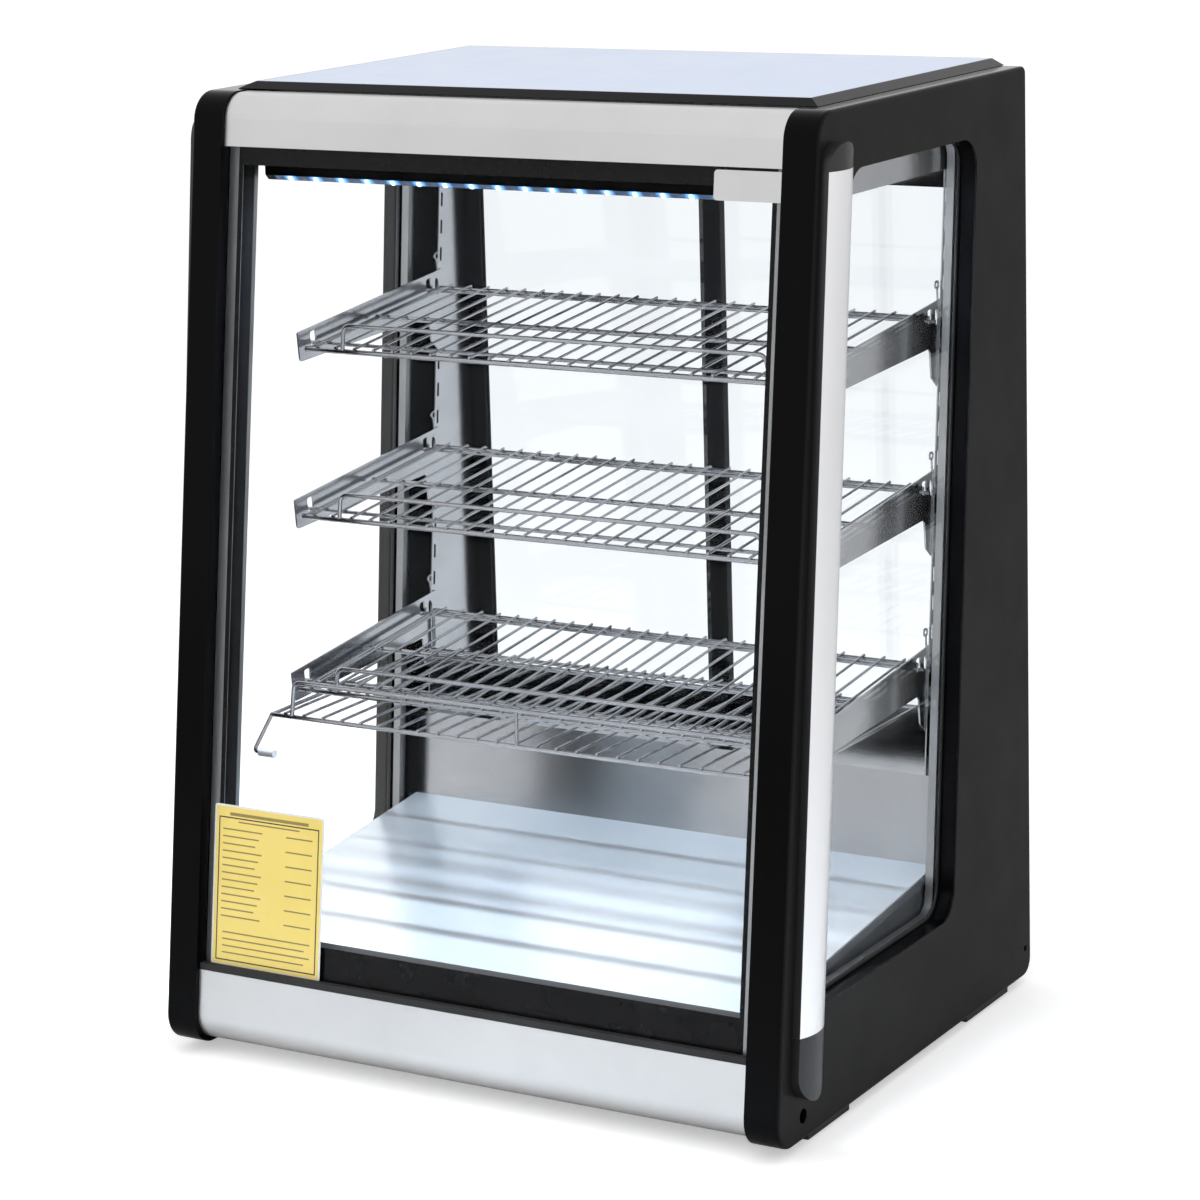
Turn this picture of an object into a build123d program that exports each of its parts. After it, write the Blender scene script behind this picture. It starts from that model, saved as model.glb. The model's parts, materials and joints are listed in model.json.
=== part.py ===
from build123d import *
import os
from math import atan, cos, degrees, radians, sin, tan

os.makedirs("parts", exist_ok=True)

# A countertop refrigerated display case, in millimetres. +Z is up, the sloped
# front glass faces -Y, and the origin is on the counter under the centre.

# Overall size
cabinet_width = 760.0
cabinet_depth = 637.0
top_depth = 505.0
side_height = 1042.0
foot_height = 9.0

# Side panels
side_thickness = 39.0
side_front_bottom_radius = 32.0
side_front_top_radius = 33.0
side_back_bottom_radius = 20.0
side_back_top_radius = 8.0
side_edge_radius = 4.0

# Side window, measured on the outer face
window_bottom = 137.0
window_top = 986.5
window_front_margin = 76.0
window_back_top_margin = 129.0
window_back_lean = 0.0944
window_corner_radius = 32.0
rebate_width = 11.0
rebate_corner_radius = 20.0

# Glass
glazing_thickness = 17.0
pane_thickness = 4.0
spacer_width = 12.0
glass_clearance = 0.5
front_glass_setback = 13.0
front_glass_bottom = 72.0
front_glass_top = 1006.0

# Front trims
trim_setback = 5.0
trim_wall = 3.0
trim_end_gap = 0.5
top_trim_bottom = 994.0
top_trim_top = 1049.5
top_trim_radius = 30.0
top_trim_return = 46.0
bottom_trim_top = 97.0
bottom_trim_bottom = 14.0
bottom_trim_radius = 30.0
bottom_trim_return = 52.0

# Top cover
cover_height = 7.5
cover_rim_bevel = 14.0
cover_half_width = 340.0
cover_front_setback = 62.0
cover_back_margin = 2.0
cover_panel_thickness = 3.0
cover_panel_gap = 0.3
cover_rim_width = 1.5

# Decorative bar on each side panel
bar_width = 54.0
bar_side_height = 8.5
bar_crown = 7.0
bar_bottom = 125.0
bar_top = 992.0
bar_bottom_gap = 25.0
bar_lean = 0.109
lower_cap_length = 70.0
upper_cap_length = 27.5
bar_joint_gap = 0.2

# Feet and fasteners
front_foot_length = 96.0
rear_foot_length = 114.0
foot_width = 26.0
front_foot_inset = 83.0
rear_foot_inset = 51.0
screw_recess_radius = 8.0
screw_recess_depth = 12.0
screw_head_radius = 5.5
screw_head_height = 4.0
side_screw_front = 57.0
side_screw_height = 35.0
rear_screw_back = 17.0
rear_screw_height = 42.0
rear_screw_radius = 3.6

# Display space: floor, riser, uprights and shelves share one lean
display_lean = 0.1
sheet = 1.5
floor_back_height = 180.0
floor_front_height = 139.0
floor_front_gap = 2.0
riser_top = 279.0
ledge_back_margin = 50.5
upright_reference_y = 177.5
upright_reference_z = 518.0
upright_inner_x = 325.0
upright_top = 950.0
slot_pitch = 32.0
slot_height = 16.0
slot_width = 4.0
slot_inset = 5.5

# Ceiling, light bar and rails
ceiling_bottom = 950.0
ceiling_front_setback = 90.0
ceiling_wall = 2.0
light_bar_height = 44.0
light_bar_depth = 17.0
light_bar_length = 664.0
light_pitch = 33.3
light_count = 19
light_size = 5.0
light_height = 1.6
light_bar_offset = -17.0
ceiling_slot_y = -40.0
header_inset = 14.0
header_cut = 14.0
base_back_margin = 10.5

# Shelf brackets
bracket_thickness = 2.0
bracket_clearance = 0.3
bracket_length = 298.0
bracket_front_height = 34.0
bracket_rear_height = 48.0
bracket_lobe_depth = 96.0
bracket_lobe_width = 30.0
bracket_overlap = 8.0
bracket_slot_top = 5.0
bracket_slot_height = 16.0
bracket_slot_width = 11.0
front_slot_inset = 29.0
rear_slot_reach = 26.0
oval_hole_reach = 9.0
oval_hole_bottom = 28.0
oval_hole_half_width = 4.2
oval_hole_half_height = 10.0
tab_width = 2.6
tab_height = 11.0
tab_length = 5.0
tab_margin = 12.0
tab_seat_gap = 0.2
shelf_heights = {"upper": 804.5, "middle": 617.5, "lower": 423.0}

# Wire shelves
rail_radius = 3.0
side_wire_radius = 2.5
side_wire_inset = 1.2
cross_wire_radius = 1.6
hook_bar_radius = 2.2
hook_clearance = 0.3
weld_depth = 0.4
shelf_half_width = 316.5
cross_wire_pitch = 25.0
cross_wire_count = 25
guard_height = 30.0
guard_half_width = 262.5
guard_splay = 5.0
guard_wire_radius = 2.5
guard_bend_radius = 9.0
hook_reach = 6.0

# Hung rack under the lower shelf
rack_height = 357.5
rack_front = -175.0
rack_back = 148.0
rack_half_width = 319.5
rack_guard_height = 40.0
rack_guard_half_width = 287.5
leg_drop = 36.0
leg_forward = 28.0
leg_inward = 8.0
leg_outward = 6.5
leg_bend_radius = 4.5
foot_cap_radius = 4.6
foot_cap_length = 20.0

# Rear sliding doors
door_thickness = 12.0
track_gap = 6.0
door_back_margin = 16.0
door_stile = 22.0
door_rail = 26.0
door_overlap = 18.0
door_bottom = 283.4
door_top = 942.0
door_glass_thickness = 5.0
door_glass_rebate = 6.0
door_side_clearance = 0.8
jamb_width = 12.0
jamb_depth = 42.0
lower_track_bottom = 264.0
lower_track_top = 289.0
lower_groove_depth = 6.0
upper_track_bottom = 934.0
upper_groove_depth = 14.0
track_running_gap = 0.4
pull_length = 90.0
pull_width = 12.0
pull_depth = 4.0

# Refrigeration and controls
base_sheet = 2.0
base_front = 276.0
sill_height = 72.0
sill_front = 300.0
compressor_radius = 62.0
compressor_height = 165.0
compressor_x = -210.0
condenser_width = 190.0
condenser_height = 150.0
condenser_depth = 44.0
condenser_x = 60.0
fin_pitch = 12.0
fan_radius = 66.0
fan_hub_radius = 20.0
fan_shaft_radius = 3.0
fan_shaft_clearance = 0.05
fan_blade_count = 5
fan_blade_depth = 14.0
evaporator_width = 330.0
evaporator_depth = 110.0
evaporator_height = 62.0
evaporator_x = -110.0
cool_fan_radius = 50.0
cool_fan_x = 190.0
pipe_radius = 3.2
pipe_y = 240.0
second_pipe_y = 254.0
pipe_hole_radius = 5.0
rocker_width = 20.0
rocker_height = 30.0
rocker_thickness = 11.0
rocker_gap = 0.6
rocker_pin_radius = 1.5
switch_x = 228.0
switch_pitch = 46.0
switch_height = 205.0
controller_x = 140.0

# Derived places
half_width = cabinet_width / 2
inner_x = half_width - side_thickness
back_y = cabinet_depth / 2
base_z = foot_height
side_top = foot_height + side_height
front_lean = (cabinet_depth - top_depth) / side_height
lean_angle = degrees(atan(front_lean))
display_angle = degrees(atan(display_lean))
fitted_half_width = inner_x - glass_clearance
pipe_x = -(inner_x + upright_inner_x + sheet) / 2
trim_gasket_half = inner_x - trim_end_gap


def front_y(z):
    """Y of the side panels' front edge at height z."""
    return -back_y + (z - base_z) * front_lean


def upright_y(z):
    """Y of the uprights' leaning front edge at height z."""
    return upright_reference_y + (z - upright_reference_z) * display_lean


def window_back_y(z):
    """Y of the side window's back edge at height z."""
    return back_y - window_back_top_margin - (window_top - z) * window_back_lean


def window_outline(grow, radius):
    """The side window's outline in the YZ plane, grown outward by grow."""
    low = window_bottom - grow
    high = window_top + grow
    corners = [
        (front_y(low) + window_front_margin - grow, low),
        (window_back_y(low) + grow, low),
        (window_back_y(high) + grow, high),
        (front_y(high) + window_front_margin - grow, high),
    ]
    FilletPolyline(*corners, radius=radius, close=True)


def save(name, builder):
    """Label one finished piece and write its STEP file."""
    builder.part.label = name
    export_step(builder.part, f"parts/{name}.step")


# Side panels: a thick moulded frame with a window and a glass rebate behind it

def side_outline():
    """The side panel's outline in the YZ plane."""
    corners = [
        (front_y(base_z), base_z),
        (back_y, base_z),
        (back_y, side_top),
        (front_y(side_top), side_top),
    ]
    radii = [
        side_front_bottom_radius,
        side_back_bottom_radius,
        side_back_top_radius,
        side_front_top_radius,
    ]
    FilletPolyline(*corners, radius=radii, close=True)


side_screw_y = front_y(side_screw_height) + side_screw_front
rear_screw_y = back_y - rear_screw_back

with BuildPart() as right_side_frame:
    with BuildSketch(Plane.YZ.offset(inner_x)):
        with BuildLine():
            side_outline()
        make_face()
    extrude(amount=side_thickness)
    outer_face = right_side_frame.faces().sort_by(Axis.X)[-1]
    fillet(outer_face.edges(), radius=side_edge_radius)
    with BuildSketch(Plane.YZ.offset(inner_x)):
        with BuildLine():
            window_outline(0, window_corner_radius)
        make_face()
    extrude(amount=side_thickness, mode=Mode.SUBTRACT)
    with BuildSketch(Plane.YZ.offset(inner_x)):
        with BuildLine():
            window_outline(rebate_width, rebate_corner_radius)
        make_face()
    extrude(amount=glazing_thickness, mode=Mode.SUBTRACT)
    with BuildSketch(Plane.YZ.offset(half_width)):
        with Locations((side_screw_y, side_screw_height)):
            Circle(screw_recess_radius)
    extrude(amount=-screw_recess_depth, mode=Mode.SUBTRACT)
    with BuildSketch(Plane.YZ.offset(half_width)):
        with Locations((rear_screw_y, rear_screw_height)):
            Circle(rear_screw_radius)
    extrude(amount=-screw_head_height, mode=Mode.SUBTRACT)
save("right_side_frame", right_side_frame)

with BuildPart() as left_side_frame:
    mirror(right_side_frame.part, about=Plane.YZ)
save("left_side_frame", left_side_frame)

# Side glass: an outer and an inner pane in the rebate, flush with the inner face

pane_grow = rebate_width - glass_clearance

with BuildPart() as right_side_glass:
    with BuildSketch(Plane.YZ.offset(inner_x)):
        with BuildLine():
            window_outline(pane_grow, rebate_corner_radius)
        make_face()
    extrude(amount=pane_thickness)
    with BuildSketch(Plane.YZ.offset(inner_x + glazing_thickness)):
        with BuildLine():
            window_outline(pane_grow, rebate_corner_radius)
        make_face()
    extrude(amount=-pane_thickness)
save("right_side_glass", right_side_glass)

with BuildPart() as left_side_glass:
    mirror(right_side_glass.part, about=Plane.YZ)
save("left_side_glass", left_side_glass)

with BuildPart() as side_glass_spacers:
    with BuildSketch(Plane.YZ.offset(inner_x + pane_thickness)):
        with BuildLine():
            window_outline(pane_grow, rebate_corner_radius)
        make_face()
        with BuildLine():
            window_outline(pane_grow - spacer_width, rebate_corner_radius)
        make_face(mode=Mode.SUBTRACT)
    extrude(amount=glazing_thickness - 2 * pane_thickness)
    mirror(about=Plane.YZ)

# Front glass: two sloped panes between the side panels, behind the trims


def front_slab(low, high, setback, thickness, half_length):
    """A slab parallel with the sloped front, between two heights."""
    level = thickness / cos(radians(lean_angle))
    start = setback / cos(radians(lean_angle))
    with BuildPart() as slab:
        with BuildSketch(Plane.YZ.offset(-half_length)):
            with BuildLine():
                Polyline(
                    (front_y(low) + start, low),
                    (front_y(low) + start + level, low),
                    (front_y(high) + start + level, high),
                    (front_y(high) + start, high),
                    close=True,
                )
            make_face()
        extrude(amount=2 * half_length)
    return slab.part


inner_pane_setback = front_glass_setback + glazing_thickness - pane_thickness
glass_cavity = glazing_thickness - 2 * pane_thickness

outer_pane = front_slab(
    front_glass_bottom, front_glass_top, front_glass_setback, pane_thickness, fitted_half_width
)
inner_pane = front_slab(
    front_glass_bottom, front_glass_top, inner_pane_setback, pane_thickness, fitted_half_width
)

with BuildPart() as front_glass:
    add(outer_pane)
    add(inner_pane)
save("front_glass", front_glass)

spacer_slab = front_slab(
    front_glass_bottom,
    front_glass_top,
    front_glass_setback + pane_thickness,
    glass_cavity,
    fitted_half_width,
)

with BuildPart() as front_glass_spacer:
    add(spacer_slab)
    spacer_bottom = front_glass_bottom + spacer_width
    spacer_top = front_glass_top - spacer_width
    spacer_half = fitted_half_width - spacer_width
    spacer_y = back_y + cabinet_depth
    with BuildSketch(Plane.XZ.offset(spacer_y)):
        with Locations((0, (spacer_bottom + spacer_top) / 2)):
            Rectangle(2 * spacer_half, spacer_top - spacer_bottom)
    extrude(amount=-2 * spacer_y, mode=Mode.SUBTRACT)

with BuildPart() as glass_spacers:
    add(side_glass_spacers.part)
    add(front_glass_spacer.part)
save("glass_spacers", glass_spacers)

# Front gaskets: black seals between the sloped glass and both trims
gasket_height = 7.0
gasket_lift = 2.0

lower_gasket = front_slab(
    bottom_trim_top,
    bottom_trim_top + gasket_height,
    trim_setback + trim_end_gap,
    front_glass_setback - trim_setback - trim_end_gap,
    trim_gasket_half,
)
upper_gasket = front_slab(
    top_trim_bottom + gasket_lift,
    top_trim_bottom + gasket_lift + gasket_height,
    trim_setback + trim_wall,
    front_glass_setback - trim_setback - trim_wall,
    trim_gasket_half,
)

with BuildPart() as front_gaskets:
    add(lower_gasket)
    add(upper_gasket)
save("front_gaskets", front_gaskets)

# Front trims: curved aluminium extrusions between the side panels

trim_half_width = inner_x - trim_end_gap


def trim_y(z, wall):
    """Y of a trim's face at height z, wall behind its outer face."""
    return front_y(z) + trim_setback + wall


top_trim_back = trim_y(top_trim_top, 0) + top_trim_return
bottom_trim_back = trim_y(bottom_trim_bottom, 0) + bottom_trim_return
top_inner_high = top_trim_top - trim_wall
bottom_inner_low = bottom_trim_bottom + trim_wall

with BuildPart() as top_trim:
    with BuildSketch(Plane.YZ.offset(-trim_half_width)):
        with BuildLine():
            FilletPolyline(
                (trim_y(top_trim_bottom, 0), top_trim_bottom),
                (top_trim_back, top_trim_bottom),
                (top_trim_back, top_trim_top),
                (trim_y(top_trim_top, 0), top_trim_top),
                radius=[0, 0, 0, top_trim_radius],
                close=True,
            )
        make_face()
        with BuildLine():
            FilletPolyline(
                (trim_y(top_trim_bottom - trim_wall, trim_wall), top_trim_bottom - trim_wall),
                (top_trim_back + trim_wall, top_trim_bottom - trim_wall),
                (top_trim_back + trim_wall, top_inner_high),
                (trim_y(top_inner_high, trim_wall), top_inner_high),
                radius=[0, 0, 0, top_trim_radius - trim_wall],
                close=True,
            )
        make_face(mode=Mode.SUBTRACT)
    extrude(amount=2 * trim_half_width)
save("top_trim", top_trim)

with BuildPart() as bottom_trim:
    with BuildSketch(Plane.YZ.offset(-trim_half_width)):
        with BuildLine():
            FilletPolyline(
                (trim_y(bottom_trim_bottom, 0), bottom_trim_bottom),
                (bottom_trim_back, bottom_trim_bottom),
                (bottom_trim_back, bottom_trim_top),
                (trim_y(bottom_trim_top, 0), bottom_trim_top),
                radius=[bottom_trim_radius, 0, 0, 0],
                close=True,
            )
        make_face()
        with BuildLine():
            FilletPolyline(
                (trim_y(bottom_inner_low, trim_wall), bottom_inner_low),
                (bottom_trim_back + trim_wall, bottom_inner_low),
                (bottom_trim_back + trim_wall, bottom_trim_top + trim_wall),
                (trim_y(bottom_trim_top + trim_wall, trim_wall), bottom_trim_top + trim_wall),
                radius=[bottom_trim_radius - trim_wall, 0, 0, 0],
                close=True,
            )
        make_face(mode=Mode.SUBTRACT)
    extrude(amount=2 * trim_half_width)
save("bottom_trim", bottom_trim)

# Top cover: a pale panel let into a black bevelled rim, resting on the side panels

cover_front = front_y(side_top) + cover_front_setback - cover_rim_bevel
cover_back = back_y - cover_back_margin
cover_length = cover_back - cover_front
cover_centre_y = (cover_front + cover_back) / 2
cover_width = 2 * (cover_half_width + cover_rim_bevel)
cover_top = side_top + cover_height
cover_lip = 0.5

with BuildPart() as top_cover_rim:
    with BuildSketch(Plane.XY.offset(side_top)):
        with Locations((0, cover_centre_y)):
            Rectangle(cover_width, cover_length)
    extrude(amount=cover_height)
    top_face = top_cover_rim.faces().sort_by(Axis.Z)[-1]
    long_edges = top_face.edges().sort_by(Axis.Y)[:-1]
    chamfer(long_edges, length=cover_rim_bevel, length2=cover_height - cover_lip, reference=top_face)
    panel_width = cover_width - 2 * cover_rim_bevel - 2 * cover_rim_width
    panel_length = cover_length - cover_rim_bevel - 2 * cover_rim_width
    panel_centre_y = cover_centre_y + cover_rim_bevel / 2
    with BuildSketch(Plane.XY.offset(cover_top)):
        with Locations((0, panel_centre_y)):
            Rectangle(panel_width, panel_length)
    extrude(amount=-cover_panel_thickness, mode=Mode.SUBTRACT)
save("top_cover_rim", top_cover_rim)

with BuildPart() as top_cover_panel:
    with BuildSketch(Plane.XY.offset(cover_top - cover_panel_thickness)):
        with Locations((0, panel_centre_y)):
            Rectangle(panel_width - 2 * cover_panel_gap, panel_length - 2 * cover_panel_gap)
    extrude(amount=cover_panel_thickness)
save("top_cover_panel", top_cover_panel)

# Decorative bars: crowned extrusions on the side panels, with a cap at each end

bar_foot_y = front_y(bar_bottom) + bar_bottom_gap


def bar_y(z):
    """Y of a side bar's front edge at height z."""
    return bar_foot_y + (z - bar_bottom) * bar_lean


def bar_stick(low, high):
    """A crowned bar lying on the right side panel between two heights."""
    centre = bar_y(low) + bar_width / 2
    flat_x = half_width + bar_side_height
    rise = high - low
    with BuildPart() as stick:
        with BuildSketch(Plane.XY.offset(low)):
            with BuildLine():
                Line((half_width, centre - bar_width / 2), (flat_x, centre - bar_width / 2))
                ThreePointArc(
                    (flat_x, centre - bar_width / 2),
                    (flat_x + bar_crown, centre),
                    (flat_x, centre + bar_width / 2),
                )
                Line((flat_x, centre + bar_width / 2), (half_width, centre + bar_width / 2))
                Line((half_width, centre + bar_width / 2), (half_width, centre - bar_width / 2))
            make_face()
        extrude(amount=rise * (1 + bar_lean**2) ** 0.5, dir=(0, bar_lean, 1))
    return stick.part


bar_body = bar_stick(bar_bottom, bar_top)

with BuildPart() as right_trim_bar:
    add(bar_body)
save("right_trim_bar", right_trim_bar)

with BuildPart() as left_trim_bar:
    mirror(right_trim_bar.part, about=Plane.YZ)
save("left_trim_bar", left_trim_bar)


def bar_cap(low, high, round_top):
    """A bar's end cap with a round end, as a separate builder."""
    blank = bar_stick(low, high)
    with BuildPart() as cap:
        add(blank)
        cap_radius = bar_width / 2
        round_z = high - cap_radius if round_top else low + cap_radius
        square_z = low if round_top else high
        round_y = bar_y(round_z) + cap_radius
        square_y = bar_y(square_z) + cap_radius
        with BuildSketch(Plane.YZ.offset(half_width)):
            with Locations((round_y, round_z)):
                Circle(cap_radius)
            with BuildLine():
                Polyline(
                    (round_y - cap_radius, round_z),
                    (round_y + cap_radius, round_z),
                    (square_y + cap_radius, square_z),
                    (square_y - cap_radius, square_z),
                    close=True,
                )
            make_face()
        extrude(amount=bar_side_height + bar_crown, mode=Mode.INTERSECT)
    return cap.part


upper_cap = bar_cap(bar_top + bar_joint_gap, bar_top + bar_joint_gap + upper_cap_length, True)
lower_cap = bar_cap(bar_bottom - bar_joint_gap - lower_cap_length, bar_bottom - bar_joint_gap, False)

with BuildPart() as bar_end_caps:
    add(upper_cap)
    add(lower_cap)
    mirror(about=Plane.YZ)
save("bar_end_caps", bar_end_caps)

# Feet: a low skid near each corner, under the side panels

foot_x = half_width - side_thickness / 2
front_foot_y = -back_y + front_foot_inset + front_foot_length / 2
rear_foot_y = back_y - rear_foot_inset - rear_foot_length / 2
foot_edge = 1.5

with BuildPart() as feet:
    with BuildSketch():
        with Locations((foot_x, front_foot_y), (-foot_x, front_foot_y)):
            Rectangle(foot_width, front_foot_length)
        with Locations((foot_x, rear_foot_y), (-foot_x, rear_foot_y)):
            Rectangle(foot_width, rear_foot_length)
    extrude(amount=foot_height)
    fillet(feet.edges().filter_by(Axis.Z), radius=foot_edge)
save("feet", feet)

# Side screws: one in each recess near the front, one in each rear corner

with BuildPart() as side_screws:
    with BuildSketch(Plane.YZ.offset(half_width - screw_recess_depth)):
        with Locations((side_screw_y, side_screw_height)):
            Circle(screw_head_radius)
            RegularPolygon(screw_head_radius / 2, 6, mode=Mode.SUBTRACT)
    extrude(amount=screw_head_height)
    with BuildSketch(Plane.YZ.offset(half_width - screw_head_height)):
        with Locations((rear_screw_y, rear_screw_height)):
            Circle(rear_screw_radius - glass_clearance)
            RegularPolygon(rear_screw_radius / 2, 6, mode=Mode.SUBTRACT)
    extrude(amount=screw_head_height / 2)
    mirror(about=Plane.YZ)
save("side_screws", side_screws)

# Display floor and riser: bent stainless sheets between the side panels

floor_front_y = front_y(floor_front_height) + front_glass_setback + glazing_thickness + floor_front_gap
floor_back_y = upright_y(floor_back_height)
riser_top_y = upright_y(riser_top)
ledge_back_y = back_y - ledge_back_margin

with BuildPart() as floor_pan:
    with BuildSketch(Plane.YZ.offset(-inner_x)):
        with BuildLine():
            Polyline(
                (floor_front_y, bottom_trim_top),
                (floor_front_y, floor_front_height),
                (floor_back_y, floor_back_height),
                (floor_back_y, floor_back_height - sheet),
                (floor_front_y + sheet, floor_front_height - sheet),
                (floor_front_y + sheet, bottom_trim_top),
                close=True,
            )
        make_face()
    extrude(amount=2 * inner_x)
save("floor_pan", floor_pan)

with BuildPart() as rear_riser:
    with BuildSketch(Plane.YZ.offset(-inner_x)):
        with BuildLine():
            Polyline(
                (floor_back_y, floor_back_height),
                (riser_top_y, riser_top),
                (ledge_back_y, riser_top),
                (ledge_back_y, riser_top - sheet),
                (riser_top_y + sheet, riser_top - sheet),
                (floor_back_y + sheet, floor_back_height - sheet),
                (floor_back_y, floor_back_height - sheet),
                close=True,
            )
        make_face()
    extrude(amount=2 * inner_x)
    with BuildSketch(Plane.XY.offset(riser_top)):
        with Locations((pipe_x, pipe_y), (pipe_x, second_pipe_y), (-pipe_x, pipe_y)):
            Circle(pipe_hole_radius)
    extrude(amount=-sheet, mode=Mode.SUBTRACT)
save("rear_riser", rear_riser)

# Slotted uprights: leaning stainless plates against the side panels

upright_back_y = back_y - ledge_back_margin
upright_bottom = riser_top + bracket_clearance
slot_count = int((upright_top - upright_bottom - 2 * slot_pitch) / slot_pitch)
slot_heights = [upright_top - slot_pitch * (index + 1) for index in range(slot_count)]
slot_places = [(upright_y(slot_z) + slot_inset, slot_z) for slot_z in slot_heights]
upright_spacer = inner_x - upright_inner_x - sheet

with BuildPart() as right_upright:
    with BuildSketch(Plane.YZ.offset(upright_inner_x)):
        with BuildLine():
            Polyline(
                (upright_y(upright_bottom), upright_bottom),
                (upright_back_y, upright_bottom),
                (upright_back_y, upright_top),
                (upright_y(upright_top), upright_top),
                close=True,
            )
        make_face()
        with Locations(*slot_places):
            Rectangle(slot_width, slot_height, rotation=-display_angle, mode=Mode.SUBTRACT)
    extrude(amount=sheet)
    with BuildSketch(Plane.YZ.offset(upright_inner_x + sheet)):
        with BuildLine():
            Polyline(
                (upright_back_y - 2 * sheet, upright_bottom),
                (upright_back_y, upright_bottom),
                (upright_back_y, upright_top),
                (upright_back_y - 2 * sheet, upright_top),
                close=True,
            )
        make_face()
    extrude(amount=upright_spacer)
save("right_upright", right_upright)

with BuildPart() as left_upright:
    mirror(right_upright.part, about=Plane.YZ)
save("left_upright", left_upright)

# Shelf brackets: tapered plates that hook into the uprights' slots

bracket_outer_x = upright_inner_x - bracket_clearance
bar_drop = bracket_slot_top + bracket_slot_height - hook_bar_radius - hook_clearance
shelf_drop = bar_drop


def bracket_plane(height, offset_x):
    """Local plane of a bracket: x runs forward along it, y runs up, normal -X."""
    origin = (offset_x, upright_y(height), height)
    forward = (0, -cos(radians(display_angle)), -sin(radians(display_angle)))
    return Plane(origin=origin, x_dir=forward, z_dir=(-1, 0, 0))


def tab_slots(height):
    """Heights of the upright slots that one bracket's tabs reach."""
    low = height - bracket_lobe_depth + tab_margin
    high = height - tab_margin
    return [z for z in slot_heights if low < z < high]


def bracket(height):
    """One right-hand bracket whose top rear corner is at the given height."""
    with BuildPart() as plate:
        with BuildSketch(bracket_plane(height, bracket_outer_x)):
            with BuildLine():
                FilletPolyline(
                    (-bracket_overlap, 0),
                    (bracket_length, 0),
                    (bracket_length, -bracket_front_height),
                    (bracket_lobe_width, -bracket_rear_height),
                    (bracket_lobe_width, -bracket_lobe_depth + bracket_lobe_width / 2),
                    (bracket_lobe_width / 2, -bracket_lobe_depth),
                    (-bracket_overlap, -bracket_lobe_depth),
                    radius=[3, 2, 4, 6, 5, 8, 6],
                    close=True,
                )
            make_face()
            slot_y = -bracket_slot_top - bracket_slot_height / 2
            with Locations((rear_slot_reach, slot_y), (bracket_length - front_slot_inset, slot_y)):
                RectangleRounded(bracket_slot_width, bracket_slot_height, 2.4, mode=Mode.SUBTRACT)
            with Locations((oval_hole_reach, -oval_hole_bottom + oval_hole_half_height)):
                Ellipse(oval_hole_half_width, oval_hole_half_height, mode=Mode.SUBTRACT)
        extrude(amount=bracket_thickness)
        with BuildSketch(Plane.YZ.offset(bracket_outer_x)):
            for slot_z in tab_slots(height):
                tab_z = slot_z - (slot_height - tab_height) / 2 + tab_seat_gap
                tab_y = upright_y(tab_z) + slot_inset
                with Locations((tab_y, tab_z)):
                    Rectangle(tab_width, tab_height, rotation=-display_angle)
        extrude(amount=tab_length)
    return plate.part


for level, level_height in shelf_heights.items():
    right_bracket = bracket(level_height)
    with BuildPart() as level_brackets:
        add(right_bracket)
        mirror(about=Plane.YZ)
    save(f"{level}_brackets", level_brackets)

# Wire clips that lock each bracket in its slots

clip_wire_radius = 0.9
clip_ring_radius = 4.0
clip_rise = 17.0

clip_reach = 3.0
clip_stem = clip_rise - clip_ring_radius

with BuildPart() as bracket_clips:
    for level_height in shelf_heights.values():
        with BuildSketch(bracket_plane(level_height, bracket_outer_x)):
            with Locations((clip_reach, clip_rise)):
                Circle(clip_ring_radius + clip_wire_radius)
                Circle(clip_ring_radius - clip_wire_radius, mode=Mode.SUBTRACT)
            with Locations((clip_reach, clip_stem / 2)):
                Rectangle(2 * clip_wire_radius, clip_stem)
        extrude(amount=2 * clip_wire_radius)
    mirror(about=Plane.YZ)
save("bracket_clips", bracket_clips)

# Wire shelves: welded chrome wires hung in the brackets' slots

front_rail_reach = 294.0
middle_rail_reach = 150.0
rear_rail_reach = 12.0
guard_foot_reach = front_rail_reach
hook_half_width = bracket_outer_x + hook_reach
rear_hook_reach = rear_slot_reach
front_hook_reach = bracket_length - front_slot_inset
cross_wire_level = hook_bar_radius + cross_wire_radius - weld_depth
rail_level = cross_wire_level - cross_wire_radius - rail_radius + weld_depth


def shelf_plane(height):
    """Local plane of a wire shelf: x runs right, y runs back along it, z up."""
    back = (0, cos(radians(display_angle)), sin(radians(display_angle)))
    up = (0, -sin(radians(display_angle)), cos(radians(display_angle)))
    drop = shelf_drop
    origin = (0, upright_y(height) - drop * up[1], height - drop * up[2])
    return Plane(origin=origin, x_dir=(1, 0, 0), z_dir=up)


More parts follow.
